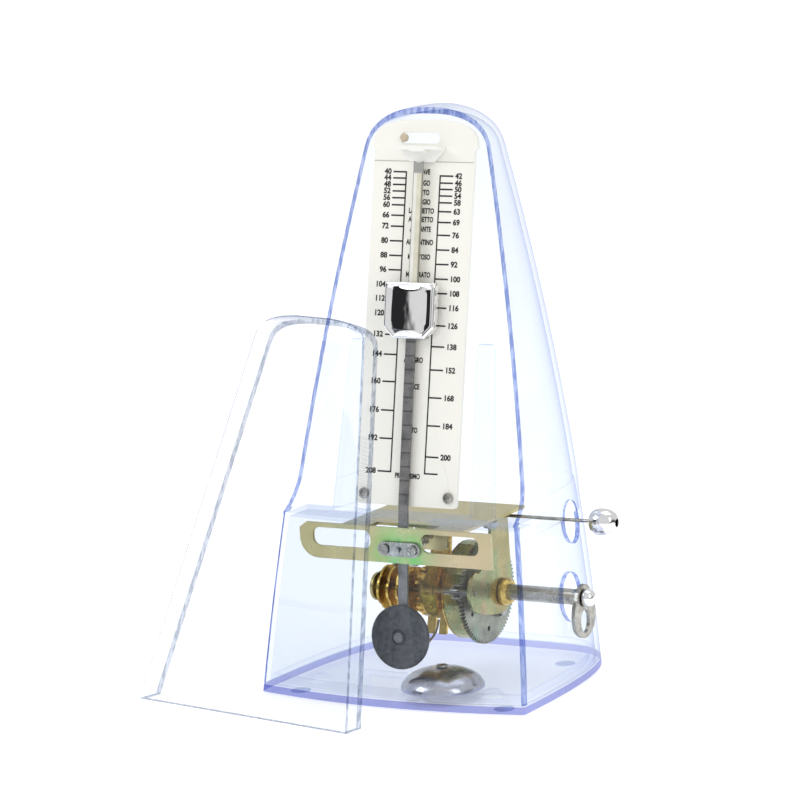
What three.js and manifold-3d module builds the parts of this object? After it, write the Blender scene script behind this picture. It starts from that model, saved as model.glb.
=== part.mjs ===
// Mechanical metronome with a clear pyramid case, in millimetres.
// +Z is up, -Y is the front and the origin lies on the table under the middle of the case.
import * as THREE from 'three';
import { mergeVertices } from 'three/addons/utils/BufferGeometryUtils.js';
import Module from 'manifold-3d';

const wasm = await Module();
wasm.setup();

// ---- driving dimensions -------------------------------------------------------------------
const BASE_HALF_WIDTH = 58;
const BASE_FRONT = -47.6;
const BASE_REAR = 47.8;
const FRONT_BULGE = 7;
const BOX_TOP = 69.5;
const BOX_LEAN = 0.1818;
const CASE_TOP = 222.5;
const CASE_FOOT = 3.8;
const WALL = 1.9;
const LEDGE_BACK = -20;
const UPPER_FRONT_AT_85 = -24.07;
const UPPER_LEAN = 0.2102;

const FOOT_HEIGHT = 0.3;
const FOOT_RADIUS = 4;
const BASE_UNDERSIDE = 0.6;
const BASE_TOP = 3.4;

const SCALE_LEAN = THREE.MathUtils.degToRad(12.03);
const SCALE_ORIGIN_Y = -44.52;
const SCALE_HALF_WIDTH = 22;
const SCALE_BOTTOM = 75.2;
const SCALE_SHOULDER = 212.5;
const SCALE_TOP = 223;

const PIVOT_Z = 58;
const ROD_WIDTH = 4;
const ROD_THICK = 1;
const ROD_BEND_Z = 74;
const ROD_BEND_Y = -30.6;
const ROD_UPPER_LEAN = Math.atan(0.197);
const ROD_LOWER_LEAN = Math.atan(0.107);
const ROD_UPPER_LENGTH = 131.6;
const ROD_LOWER_LENGTH = 54;
const DISC_RADIUS = 12.4;
const DISC_THICK = 2.6;
const DISC_DOWN = 50.3;
const WEIGHT_UP = 74.6;

const WIND_Y = 3.3;
const WIND_Z = 34.4;
const ESCAPE_Y = -19.4;
const ESCAPE_Z = 38.7;
const GREAT_TEETH = 80;
const PINION_LEAVES = 10;
const GREAT_PITCH_RADIUS = 20.4;
const PINION_PITCH_RADIUS = GREAT_PITCH_RADIUS * PINION_LEAVES / GREAT_TEETH;
const SELECTOR_Y = 13;
const SELECTOR_Z = 62.3;
const SIDE_PLATE_X = 21.6;
const LEFT_PLATE_X = -20.5;
const SHEET = 1.2;

const BRACKET_Y = -34.9;
const BELL_X = 13.5;
const BELL_Y = -31;
const BELL_RADIUS = 16.2;
const BELL_RISE = 8;
const BELL_WALL = 1.1;
const BELL_FOOT = 4;

const COVER_YAW = THREE.MathUtils.degToRad(-11.2);
const COVER_LEAN = THREE.MathUtils.degToRad(20);
const COVER_X = -47.1;
const COVER_Y = -81;
const COVER_HALF_WIDTH = 54.1;
const COVER_TOP_HALF_WIDTH = 28.3;
const COVER_LENGTH = 155;
const COVER_DEPTH = 8.4;
const COVER_WALL = 1.8;
const COVER_RIBS = 21;

// ---- colours ------------------------------------------------------------------------------
const CLEAR = { color: 0xdfe6fa, roughness: 0.05, metalness: 0, transparent: true, opacity: 0.35 };
const IVORY = { color: 0xf3f0e2, roughness: 0.45, metalness: 0 };
const WHITE = { color: 0xf7f7f4, roughness: 0.4, metalness: 0 };
const ZINC = { color: 0xc9b777, roughness: 0.35, metalness: 0.9 };
const BRASS = { color: 0xc79a35, roughness: 0.25, metalness: 1 };
const CHROME = { color: 0xe2e2e4, roughness: 0.06, metalness: 1 };
const STEEL = { color: 0xa9a9a6, roughness: 0.35, metalness: 0.95 };
const DARK_STEEL = { color: 0x4c4c52, roughness: 0.5, metalness: 0.7 };
const BELL = { color: 0x9a9ba0, roughness: 0.3, metalness: 0.9 };
const SPRING = { color: 0x55575c, roughness: 0.3, metalness: 0.9 };
const RUBBER = { color: 0xd5d8de, roughness: 0.8, metalness: 0 };

// ---- helpers ------------------------------------------------------------------------------
const metronome = new THREE.Group();

function addMesh(name, geometry, look, parent = metronome) {
  const mesh = new THREE.Mesh(geometry, new THREE.MeshStandardMaterial(look));
  mesh.name = name;
  parent.add(mesh);
  return mesh;
}

function toSolid(geometry) {
  const bare = geometry.clone();
  bare.deleteAttribute('normal');
  bare.deleteAttribute('uv');
  const welded = mergeVertices(bare, 1e-5);
  return new wasm.Manifold(new wasm.Mesh({
    numProp: 3,
    vertProperties: new Float32Array(welded.attributes.position.array),
    triVerts: new Uint32Array(welded.index.array),
  }));
}

function toGeometry(solid) {
  const mesh = solid.getMesh();
  const geometry = new THREE.BufferGeometry();
  geometry.setAttribute('position', new THREE.BufferAttribute(mesh.vertProperties, 3));
  geometry.setIndex(new THREE.BufferAttribute(mesh.triVerts, 1));
  geometry.computeVertexNormals();
  return geometry;
}

function join(first, ...others) {
  return toGeometry(others.reduce((sum, g) => sum.add(toSolid(g)), toSolid(first)));
}

function cut(body, ...tools) {
  return toGeometry(tools.reduce((rest, g) => rest.subtract(toSolid(g)), toSolid(body)));
}

function box(x0, x1, y0, y1, z0, z1) {
  const geometry = new THREE.BoxGeometry(x1 - x0, y1 - y0, z1 - z0);
  return geometry.translate((x0 + x1) / 2, (y0 + y1) / 2, (z0 + z1) / 2);
}

// A solid of revolution about the X axis from points [radius, x].
function turnedX(points, sides = 24) {
  const geometry = new THREE.LatheGeometry(points.map(([r, x]) => new THREE.Vector2(r, x)), sides);
  return geometry.rotateZ(-Math.PI / 2);
}

// A solid of revolution about the Y axis from points [radius, y].
function turnedY(points, sides = 24) {
  return new THREE.LatheGeometry(points.map(([r, y]) => new THREE.Vector2(r, y)), sides);
}

function turnedZ(points, sides = 24) {
  return turnedY(points, sides).rotateX(Math.PI / 2);
}

function rodX(radius, x0, x1, sides = 16) {
  return turnedX([[0, x0], [radius, x0], [radius, x1], [0, x1]], sides);
}

function rodY(radius, y0, y1, sides = 16) {
  return turnedY([[0, y0], [radius, y0], [radius, y1], [0, y1]], sides);
}

function ringX(inner, outer, x0, x1, sides = 32) {
  return turnedX([[inner, x0], [outer, x0], [outer, x1], [inner, x1], [inner, x0]], sides);
}

function circlePath(x, y, radius) {
  return new THREE.Path().absarc(x, y, radius, 0, 2 * Math.PI, true);
}

function roundedOutline(path, x0, x1, y0, y1, radius) {
  path.moveTo(x0 + radius, y0);
  path.lineTo(x1 - radius, y0);
  path.absarc(x1 - radius, y0 + radius, radius, -Math.PI / 2, 0, false);
  path.lineTo(x1, y1 - radius);
  path.absarc(x1 - radius, y1 - radius, radius, 0, Math.PI / 2, false);
  path.lineTo(x0 + radius, y1);
  path.absarc(x0 + radius, y1 - radius, radius, Math.PI / 2, Math.PI, false);
  path.lineTo(x0, y0 + radius);
  path.absarc(x0 + radius, y0 + radius, radius, Math.PI, 1.5 * Math.PI, false);
  return path;
}

const polygon = (points) => new THREE.Shape(points.map(([x, y]) => new THREE.Vector2(x, y)));
const slotPath = (...sides) => roundedOutline(new THREE.Path(), ...sides);
const slotShape = (...sides) => roundedOutline(new THREE.Shape(), ...sides);

// The points of a path, with those that fall on each other dropped.
function cleanPoints(path, curveSegments) {
  const points = path.getPoints(curveSegments);
  const kept = points.filter((p, i) => i === 0 || p.distanceTo(points[i - 1]) > 1e-3);
  while (kept[0].distanceTo(kept[kept.length - 1]) < 1e-3) kept.pop();
  return kept;
}

function extrude(shape, depth, curveSegments = 6) {
  const outline = new THREE.Shape(cleanPoints(shape, curveSegments));
  outline.holes = shape.holes.map((hole) => new THREE.Path(cleanPoints(hole, curveSegments)));
  return new THREE.ExtrudeGeometry(outline, { depth, bevelEnabled: false, curveSegments });
}

// An outline drawn in (x, z) becomes a sheet whose front face is at y.
function sheetFacingFront(shape, y, thick, curveSegments = 6) {
  return extrude(shape, thick, curveSegments).rotateX(Math.PI / 2).translate(0, y + thick, 0);
}

// An outline drawn in (y, z) becomes a sheet that starts at x and grows towards +X.
function sheetFacingRight(shape, x, thick, curveSegments = 6) {
  const geometry = extrude(shape, thick, curveSegments);
  geometry.rotateX(Math.PI / 2).rotateZ(Math.PI / 2);
  return geometry.translate(x, 0, 0);
}

// A group whose local x runs right, y runs up a slope that leans back, and z points out of it.
function leaningGroup(lean, y, z, parent = metronome) {
  const group = new THREE.Group();
  group.rotation.x = Math.PI / 2 - lean;
  group.position.set(0, y, z);
  parent.add(group);
  return group;
}

// ---- case ---------------------------------------------------------------------------------
const halfWidth = (z) => BASE_HALF_WIDTH - 0.066 * z - 0.00038 * z * z;
const rearAt = (z) => BASE_REAR - 0.041 * z - 0.00037 * z * z;

const ARCH_START = 207;

function archShrink(z, top) {
  const s = Math.max(0, (z - ARCH_START) / (top - ARCH_START));
  return Math.pow(Math.max(0, 1 - Math.pow(s, 2.5)), 1 / 2.5);
}

function upperFrontAt(z) {
  const onSlope = UPPER_FRONT_AT_85 + UPPER_LEAN * (z - 85);
  const s = THREE.MathUtils.clamp((z - BOX_TOP) / 15.5, 0, 1);
  return onSlope - 7.63 * Math.pow(1 - s, 2.5);
}

const boxFrontAt = (z) => BASE_FRONT + BOX_LEAN * z;
const bulgeAt = (z) => FRONT_BULGE - 0.036 * z;

// One level of the case: a bulging front, then sides that round into the rear.
function caseLevel({ z, front, rear, half, bulge = 0, apron = 0 }) {
  const points = [];
  const frontSteps = 6;
  for (let i = 0; i <= frontSteps; i += 1) {
    const u = -1 + 2 * i / frontSteps;
    points.push([u * half, front - apron - bulge * (1 - u * u), z]);
  }
  const sideSteps = 9;
  const sideLast = apron > 0 ? 0 : 1;
  for (let side = 1; side >= -1; side -= 2) {
    for (let i = sideLast; i <= sideSteps; i += 1) {
      const k = side > 0 ? i : sideSteps - i + sideLast;
      if (side < 0 && k === sideSteps) continue;
      const phi = k / sideSteps * Math.PI / 2;
      const x = side * half * Math.pow(Math.cos(phi), 1 / 3);
      const y = front + (rear - front) * Math.pow(Math.sin(phi), 0.8);
      points.push([k === sideSteps ? 0 : x, y, z]);
    }
  }
  return points;
}

// Stacked levels with the same number of points become one closed solid.
function loft(levels) {
  const count = levels[0].length;
  const positions = levels.flat(2);
  const index = [];
  for (let row = 0; row < levels.length - 1; row += 1) {
    for (let i = 0; i < count; i += 1) {
      const a = row * count + i;
      const b = row * count + (i + 1) % count;
      index.push(a, b, b + count, a, b + count, a + count);
    }
  }
  for (const [row, flip] of [[0, true], [levels.length - 1, false]]) {
    const centre = positions.length / 3;
    const ring = levels[row];
    for (let axis = 0; axis < 3; axis += 1) {
      positions.push(ring.reduce((sum, p) => sum + p[axis], 0) / count);
    }
    for (let i = 0; i < count; i += 1) {
      const a = row * count + i;
      const b = row * count + (i + 1) % count;
      index.push(...(flip ? [b, a, centre] : [a, b, centre]));
    }
  }
  const geometry = new THREE.BufferGeometry();
  geometry.setAttribute('position', new THREE.Float32BufferAttribute(positions, 3));
  geometry.setIndex(index);
  return geometry;
}

function heights(from, to, steps) {
  return Array.from({ length: steps + 1 }, (_, i) => from + (to - from) * i / steps);
}

function archHeights(top) {
  return [0, 0.4, 0.7, 0.87, 0.96, 0.993].map((s) => ARCH_START + s * (top - ARCH_START));
}

function boxLevels(inset, from, to, steps) {
  return heights(from, to, steps).map((z) => caseLevel({
    z, front: boxFrontAt(z) + inset, rear: rearAt(z) - inset, half: halfWidth(z) - inset,
    bulge: bulgeAt(z),
  }));
}

function upperLevels(inset, apron, zs, top) {
  return zs.map((z) => caseLevel({
    z,
    front: upperFrontAt(Math.max(z, BOX_TOP)) + (inset > 0 ? inset : 0),
    rear: rearAt(z) - inset - 3 * Math.pow(Math.max(0, z - ARCH_START) / (top - ARCH_START), 3),
    half: Math.max(0.4, (halfWidth(z) - inset) * archShrink(z, top)),
    bulge: 0,
    apron,
  }));
}

function caseOutside() {
  const lower = loft(boxLevels(0, CASE_FOOT, BOX_TOP, 3));
  const zs = [BOX_TOP - 1, BOX_TOP, 71.5, 75, 85, ...heights(105, 190, 3), ...archHeights(CASE_TOP)];
  return join(lower, loft(upperLevels(0, 0, zs, CASE_TOP)));
}

function towerPost(side) {
  const levels = [[69, -23.4, 5.2], [100, -16.8, 4.6], [134, -9.6, 3.9]].map(([z, y, r]) => {
    const ring = [];
    for (let i = 0; i < 8; i += 1) {
      const a = (i + 0.5) / 8 * 2 * Math.PI;
      ring.push([side * (30.5 - 0.04 * (z - 69)) + r * Math.cos(a), y + 0.6 * r * Math.sin(a), z]);
    }
    return ring;
  });
  return loft(levels);
}

function caseShell() {
  const innerTop = CASE_TOP - 2.4;
  const roomBelow = loft(boxLevels(WALL, CASE_FOOT - 2, BOX_TOP - WALL, 3));
  const zs = [BOX_TOP, 71.5, 75, 85, ...heights(105, 190, 3), ...archHeights(innerTop)];
  const roomAbove = loft(upperLevels(WALL, 14, zs, innerTop));
  const shaft = loft([BOX_TOP - 6, BOX_TOP, BOX_TOP + 6].map((z) => caseLevel({
    z, front: LEDGE_BACK, rear: rearAt(z) - WALL, half: halfWidth(z) - WALL,
  })));
  const rodSlot = extrude(slotShape(-13, 13, -38.5, -27.8, 2), 8).translate(0, 0, 64);
  const keyHole = rodX(9.6, 40, 70, 32).translate(0, WIND_Y, WIND_Z);
  const knobHole = rodX(8.4, 38, 70, 32).translate(0, SELECTOR_Y, SELECTOR_Z - 0.6);
  const hollow = cut(caseOutside(), roomBelow, roomAbove, shaft, rodSlot, keyHole, knobHole);
  const guideTab = box(-2.1, 1.9, -39.6, -38.4, 53.5, BOX_TOP - 1);
  return join(hollow, towerPost(-1), towerPost(1), guideTab);
}

addMesh('case_shell', caseShell(), CLEAR);

// ---- base ---------------------------------------------------------------------------------
function basePlate() {
  const floor = loft(boxLevels(0, BASE_UNDERSIDE, BASE_TOP, 1));
  const rimOut = loft(boxLevels(WALL + 0.4, BASE_TOP - 0.4, 7, 1));
  const rimIn = loft(boxLevels(WALL + 2.2, BASE_TOP, 8, 1));
  const rim = cut(rimOut, rimIn);
  const postProfile = [[0, 3], [4, 3], [4, 4.8], [3.2, 5.8], [1.8, 6.4], [0, 6.5]];
  const posts = [-38, 38].map((x) => turnedZ(postProfile, 20).translate(x, -36, 0));
  const guard = cut(box(-11, 8, -48.7, -47, 3, 13), box(-8.6, 5.6, -50, -45, BASE_TOP, 10.8));
  return join(floor, rim, guard, ...posts);
}

addMesh('base_plate', basePlate(), CLEAR);

const FEET = {
  front_left: [-45, -40],
  front_right: [45, -40],
  rear_left: [-34, 30],
  rear_right: [34, 30],
};
for (const [place, [x, y]] of Object.entries(FEET)) {
  const profile = [[0, 0], [FOOT_RADIUS - 0.1, 0], [FOOT_RADIUS, 0.1], [FOOT_RADIUS, FOOT_HEIGHT],
    [0, FOOT_HEIGHT]];
  addMesh(`foot_${place}`, turnedZ(profile, 20).translate(x, y, 0), RUBBER);
}

// ---- scale plate and rod holder -----------------------------------------------------------
const scale = leaningGroup(SCALE_LEAN, SCALE_ORIGIN_Y, 0);

function scaleShape() {
  const shape = new THREE.Shape();
  const w = SCALE_HALF_WIDTH;
  const headWidth = 23.2;
  shape.moveTo(-w + 1.5, SCALE_BOTTOM);
  shape.lineTo(w - 1.5, SCALE_BOTTOM);
  shape.absarc(w - 1.5, SCALE_BOTTOM + 1.5, 1.5, -Math.PI / 2, 0, false);
  shape.lineTo(w, SCALE_SHOULDER - 1.2);
  shape.lineTo(headWidth, SCALE_SHOULDER);
  shape.bezierCurveTo(headWidth, SCALE_TOP - 3.5, headWidth - 5, SCALE_TOP - 1, 8, SCALE_TOP);
  shape.lineTo(-8, SCALE_TOP);
  shape.bezierCurveTo(-headWidth + 5, SCALE_TOP - 1, -headWidth, SCALE_TOP - 3.5,
    -headWidth, SCALE_SHOULDER);
  shape.lineTo(-w, SCALE_SHOULDER - 1.2);
  shape.lineTo(-w, SCALE_BOTTOM + 1.5);
  shape.absarc(-w + 1.5, SCALE_BOTTOM + 1.5, 1.5, Math.PI, 1.5 * Math.PI, false);
  shape.holes.push(slotPath(-10.9, 6.5, 213.9, 217.9, 1.95));
  for (const x of [-18.5, 18.5]) shape.holes.push(circlePath(x, SCALE_BOTTOM + 4, 1.3));
  return shape;
}

addMesh('scale_plate', extrude(scaleShape(), 1.6, 8).translate(0, 0, -1.6), IVORY, scale);

function rodHolder() {
  const pad = polygon([[-9.6, 212.6], [-9.4, 210.8], [-5, 206.6], [5, 206.6], [9, 210.8], [9.2, 212.6]]);
  const lip = box(-9.6, 9.2, 211.2, 212.6, 1, 6.4);
  const hook = box(-3.4, 3.4, 210.4, 212, 1, 6.4);
  return join(extrude(pad, 2).translate(0, 0, 0.3), lip, hook);
}

addMesh('rod_holder', rodHolder(), WHITE, scale);

for (const [side, x] of [['left', -18.5], ['right', 18.5]]) {
  const profile = [[0, -4.4], [0.95, -4.4], [0.95, 0.3], [2.1, 0.3], [2.1, 1], [1.4, 1.5], [0, 1.6]];
  const screw = turnedZ(profile, 16).translate(x, SCALE_BOTTOM + 4, 0);
  addMesh(`scale_screw_${side}`, screw, STEEL, scale);
}

// ---- movement frame -----------------------------------------------------------------------
function bracketFace() {
  const shape = new THREE.Shape();
  shape.moveTo(-36.8, 52.3);
  shape.lineTo(39.9, 52.3);
  shape.lineTo(39.9, 66.2);
  shape.lineTo(-41.4, 66.2);
  shape.lineTo(-44.5, 64);
  shape.lineTo(-44.5, 60);
  shape.absarc(-36.8, 60, 7.7, Math.PI, 1.5 * Math.PI, false);
  shape.holes.push(slotPath(-38.6, -13, 57.2, 64.4, 3));
  shape.holes.push(slotPath(9.2, 34.4, 57.2, 64.4, 3));
  shape.holes.push(circlePath(0, PIVOT_Z, 1.6));
  for (const x of [-6.1, 6.1]) shape.holes.push(circlePath(x, PIVOT_Z, 1.15));
  return sheetFacingFront(shape, BRACKET_Y, SHEET, 5);
}

function frontBracket() {
  const top = cut(
    box(-26, 27, BRACKET_Y, 16, 65, 66.2),
    box(-14, 14, BRACKET_Y + SHEET, -27.2, 60, 70),
  );
  const rearTab = cut(
    sheetFacingFront(slotShape(-7, 7, 52.5, 66, 2.4), -11, SHEET),
    rodY(1.15, -14, -8).translate(0, 0, PIVOT_Z),
  );
  return join(bracketFace(), top, rearTab);
}

addMesh('front_bracket', frontBracket(), ZINC);

function rightPlateShape() {
  const shape = new THREE.Shape();
  shape.moveTo(-4, 64.6);
  shape.lineTo(-4.5, 54);
  shape.quadraticCurveTo(-6, 47, -16, 45.5);
  shape.absarc(-14.5, 38.6, 8.6, Math.PI * 0.62, Math.PI * 1.35, false);
  shape.quadraticCurveTo(-6, 26, 4, 26.5);
  shape.absarc(3.3, 34.4, 7.4, -Math.PI * 0.42, Math.PI * 0.1, false);
  shape.lineTo(9.5, 64.6);
  shape.closePath();
  shape.holes.push(circlePath(WIND_Y, WIND_Z, 4.3));
  shape.holes.push(circlePath(ESCAPE_Y, ESCAPE_Z, 1.1));
  return shape;
}

addMesh('right_side_plate', sheetFacingRight(rightPlateShape(), SIDE_PLATE_X, SHEET, 10), ZINC);

function leftPlateShape() {
  const shape = new THREE.Shape();
  const boss = 5.4;
  shape.moveTo(-1.5, 64.6);
  shape.lineTo(-1.5, 48);
  shape.quadraticCurveTo(-4, ESCAPE_Z + boss, -13, ESCAPE_Z + boss);
  shape.absarc(ESCAPE_Y, ESCAPE_Z, boss, Math.PI * 0.5, Math.PI * 1.4, false);
  shape.lineTo(-2, 30.2);
  shape.absarc(WIND_Y, WIND_Z, boss, -Math.PI * 0.7, 0, false);
  shape.lineTo(WIND_Y + boss, 64.6);
  shape.closePath();
  shape.holes.push(circlePath(WIND_Y, WIND_Z, 2.1));
  shape.holes.push(circlePath(ESCAPE_Y, ESCAPE_Z, 1.1));
  return shape;
}

addMesh('left_side_plate', sheetFacingRight(leftPlateShape(), LEFT_PLATE_X, SHEET, 10), ZINC);

for (const [place, x, y] of [['left', -23.5, -8], ['right', 24.8, -8]]) {
  const profile = [[0, 62.4], [2.6, 62.4], [2.9, 63], [2.9, 64.6], [0, 64.6]];
  addMesh(`frame_screw_${place}`, turnedZ(profile, 18).translate(x, y, 0), STEEL);
}

function pivotClamp() {
  const shape = slotShape(-9.2, 9.2, PIVOT_Z - 2.8, PIVOT_Z + 2.8, 2.79);
  shape.holes.push(circlePath(0, PIVOT_Z, 1.07));
  for (const x of [-6.1, 6.1]) shape.holes.push(circlePath(x, PIVOT_Z, 1.15));
  return sheetFacingFront(shape, BRACKET_Y - 0.3 - 1, 1, 8);
}

addMesh('pivot_clamp', pivotClamp(), STEEL);

for (const [side, x] of [['left', -6.1], ['right', 6.1]]) {
  const front = BRACKET_Y - 1.3;
  const profile = [[0, front - 1.3], [1.5, front - 1.3], [2, front - 0.9], [2, front - 0.3],
    [0.85, front - 0.3], [0.85, front + 4], [0, front + 4]];
  addMesh(`clamp_screw_${side}`, turnedY(profile, 18).translate(x, 0, PIVOT_Z), STEEL);
}

function windingBush() {
  const x = SIDE_PLATE_X;
  return turnedX([[3.15, x - 0.6], [4, x - 0.6], [4, x + SHEET + 0.3], [5.4, x + SHEET + 0.3],
    [5.4, x + SHEET + 1.6], [4.6, x + SHEET + 3.4], [3.15, x + SHEET + 3.4], [3.15, x - 0.6]], 28)
    .translate(0, WIND_Y, WIND_Z);
}

addMesh('winding_bush', windingBush(), BRASS);

// ---- bell ---------------------------------------------------------------------------------
function bellGong() {
  const outside = [];
  const inside = [];
  const steps = 6;
  for (let i = 0; i <= steps; i += 1) {
    const a = i / steps * Math.PI / 2;
    outside.push([BELL_RADIUS * Math.cos(a), BELL_FOOT + BELL_RISE * Math.sin(a)]);
    inside.push([
      (BELL_RADIUS - BELL_WALL) * Math.cos(a), BELL_FOOT + (BELL_RISE - BELL_WALL) * Math.sin(a)]);
  }
  outside[steps][0] = 1.6;
  inside[steps][0] = 1.6;
  const profile = [...outside, ...inside.reverse(), outside[0]];
  return turnedZ(profile, 26).translate(BELL_X, BELL_Y, 0);
}

addMesh('bell_gong', bellGong(), BELL);

const bellScrewProfile = [[0, 3.7], [2.6, 3.7], [2.6, 10.6], [1.3, 10.6], [1.3, 12.3], [2.5, 12.3],
  [2.2, 12.8], [0, 13]];
addMesh('bell_screw', turnedZ(bellScrewProfile, 18).translate(BELL_X, BELL_Y, 0), STEEL);

// ---- pendulum -----------------------------------------------------------------------------
const upperRod = leaningGroup(ROD_UPPER_LEAN, ROD_BEND_Y, ROD_BEND_Z);
const lowerRod = leaningGroup(ROD_LOWER_LEAN, ROD_BEND_Y, ROD_BEND_Z);

function leaned(geometry, lean) {
  return geometry.rotateX(Math.PI / 2 - lean);
}

function pendulumRod() {
  const tip = new THREE.Shape();
  const w = ROD_WIDTH / 2;
  tip.moveTo(-w, -0.6);
  tip.lineTo(w, -0.6);
  tip.lineTo(w, ROD_UPPER_LENGTH);
  tip.lineTo(0, ROD_UPPER_LENGTH - 1);
  tip.lineTo(-w, ROD_UPPER_LENGTH);
  const upper = leaned(extrude(tip, ROD_THICK).translate(0, 0, -ROD_THICK / 2), ROD_UPPER_LEAN);
  const foot = slotShape(-w, w, -ROD_LOWER_LENGTH, 0.6, 1.9);
  foot.holes.push(circlePath(0, -DISC_DOWN, 1.1));
  const lower = leaned(extrude(foot, ROD_THICK).translate(0, 0, -ROD_THICK / 2), ROD_LOWER_LEAN);
  const rod = join(upper, lower).translate(0, ROD_BEND_Y, ROD_BEND_Z);
  return cut(rod, rodY(1.15, -45, -20).translate(0, 0, PIVOT_Z));
}

addMesh('pendulum_rod', pendulumRod(), STEEL);

const discFront = ROD_THICK / 2 + 0.3 + DISC_THICK;
const discProfile = [[1.15, discFront - DISC_THICK], [DISC_RADIUS - 0.4, discFront - DISC_THICK],
  [DISC_RADIUS, discFront - DISC_THICK + 0.4], [DISC_RADIUS, discFront - 0.5],
  [DISC_RADIUS - 0.5, discFront], [3.1, discFront], [2.9, discFront - 0.5], [1.15, discFront - 0.5],
  [1.15, discFront - DISC_THICK]];
addMesh('disc_weight', turnedZ(discProfile, 30).translate(0, -DISC_DOWN, 0), DARK_STEEL, lowerRod);

const rivetProfile = [[0, -1.3], [1.7, -1.3], [1.7, -0.8], [0.8, -0.8], [0.8, discFront - 0.2],
  [2.1, discFront - 0.2], [2.1, discFront + 0.6], [1.6, discFront + 1], [0, discFront + 1.1]];
addMesh('disc_rivet', turnedZ(rivetProfile, 20).translate(0, -DISC_DOWN, 0), STEEL, lowerRod);

addMesh('pendulum_arbor', rodY(0.8, -37.3, -8.6, 14).translate(0, 0, PIVOT_Z), STEEL);

function palletArm() {
  const hub = turnedY([[1.1, -26.5], [2.4, -26.5], [2.4, -16.5], [1.1, -16.5], [1.1, -26.5]], 18);
  const arm = box(-1.8, -0.6, -24, -19, -9.2, -1.9);
  const foot = box(-2.2, 0.3, -24, -19, -9.2, -8);
  return join(hub, arm, foot).translate(0, 0, PIVOT_Z);
}

addMesh('pallet_arm', palletArm(), STEEL);

function slidingWeight() {
  const face = polygon([[-10.4, 9.6], [-10.4, -6.6], [-6.6, -10.2], [6.6, -10.2], [10.4, -6.6],
    [10.4, 9.6], [9.6, 10.2], [-9.6, 10.2]]);
  const body = new THREE.ExtrudeGeometry(face, {
    depth: 2.6, bevelEnabled: true, bevelSize: 0.6, bevelThickness: 0.6, bevelSegments: 2,
  }).translate(0, 0, -0.2);
  const channel = box(-2.35, 2.35, -12, 12, -3, 0.85);
  const springPocket = box(-8.2, 8.2, -3, 3, -3, 2.4);
  return cut(body, channel, springPocket);
}

const weightGroup = new THREE.Group();
weightGroup.position.set(0, WEIGHT_UP, 0);
upperRod.add(weightGroup);
addMesh('sliding_weight', slidingWeight(), CHROME, weightGroup);

function weightSpring() {
  const line = [[-7.5, 2.05], [-4.5, 1.5], [-1.5, 0.55], [1.5, 0.55], [4.5, 1.5], [7.5, 2.05]];
  const shape = new THREE.Shape();
  line.forEach(([x, z], i) => (i === 0 ? shape.moveTo(x, z) : shape.lineTo(x, z)));
  [...line].reverse().forEach(([x, z]) => shape.lineTo(x, z + 0.3));
  return extrude(shape, 5).rotateX(Math.PI / 2).translate(0, 2.5, 0);
}

addMesh('weight_spring', weightSpring(), SPRING, weightGroup);

// ---- winding shaft and key ----------------------------------------------------------------
const SHAFT_END = 56.5;
function windingShaft() {
  return turnedX([[0, -21.8], [2, -21.8], [2, 10], [3.1, 10], [3.1, SHAFT_END], [2.2, SHAFT_END],
    [2.2, 58.4], [0, 58.4]], 24).translate(0, WIND_Y, WIND_Z);
}

addMesh('winding_shaft', windingShaft(), STEEL);

function windingKey() {
  const shape = new THREE.Shape();
  const y = WIND_Y;
  const z = WIND_Z;
  shape.moveTo(y - 3.4, z + 4.2);
  shape.quadraticCurveTo(y, z + 6.4, y + 3.4, z + 4.2);
  shape.bezierCurveTo(y + 8, z, y + 10.4, z - 8, y + 7, z - 12.4);
  shape.quadraticCurveTo(y, z - 19.2, y - 7, z - 12.4);
  shape.bezierCurveTo(y - 10.4, z - 8, y - 8, z, y - 3.4, z + 4.2);
  const eye = new THREE.Shape();
  eye.absellipse(y, z - 9.2, 3.6, 4.6, 0, 2 * Math.PI, false);
  const start = SHAFT_END + 0.3;
  return cut(
    sheetFacingRight(shape, start, 1.5, 10),
    sheetFacingRight(eye, start - 1, 4, 10),
    rodX(2.5, start - 1, start + 3, 20).translate(0, y, z),
  );
}

addMesh('winding_key', windingKey(), STEEL);

const capProfile = [[0, 58.7], [3.6, 58.7], [3.6, 60], [3, 61.6], [1.8, 62.7], [0, 63.1]];
addMesh('key_cap', turnedX(capProfile, 24).translate(0, WIND_Y, WIND_Z), CHROME);

// ---- wheels and ratchet -------------------------------------------------------------------
// A toothed outline; a tooth is centred on the given angle and fills a share of the pitch.
function toothed(teeth, root, tip, phase, share = 0.5) {
  const points = [];
  const flank = share * 0.5;
  const crest = share * 0.22;
  for (let i = 0; i < teeth; i += 1) {
    for (const [at, radius] of [[-flank, root], [-crest, tip], [crest, tip], [flank, root]]) {
      const a = phase + (i + at) / teeth * 2 * Math.PI;
      points.push(new THREE.Vector2(radius * Math.cos(a), radius * Math.sin(a)));
    }
  }
  return new THREE.Shape(points);
}

const meshAngle = Math.atan2(ESCAPE_Z - WIND_Z, ESCAPE_Y - WIND_Y);

function greatWheel() {
  const shape = toothed(GREAT_TEETH, GREAT_PITCH_RADIUS - 0.66, GREAT_PITCH_RADIUS + 0.42, meshAngle, 0.62);
  shape.holes.push(circlePath(0, 0, 3.25));
  for (let i = 0; i < 6; i += 1) {
    const a = i / 6 * 2 * Math.PI - 0.6;
    shape.holes.push(circlePath(15 * Math.cos(a), 15 * Math.sin(a), 1));
  }
  return sheetFacingRight(shape, 14.4, 1.8, 6).translate(0, WIND_Y, WIND_Z);
}

addMesh('great_wheel', greatWheel(), ZINC);

function springBarrel() {
  return turnedX([[17.8, 6.9], [19.2, 6.9], [19.2, 14.1], [3.2, 14.1], [3.2, 13.1], [17.8, 13.1],
    [17.8, 6.9]], 30).translate(0, WIND_Y, WIND_Z);
}

addMesh('spring_barrel', springBarrel(), ZINC);

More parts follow.
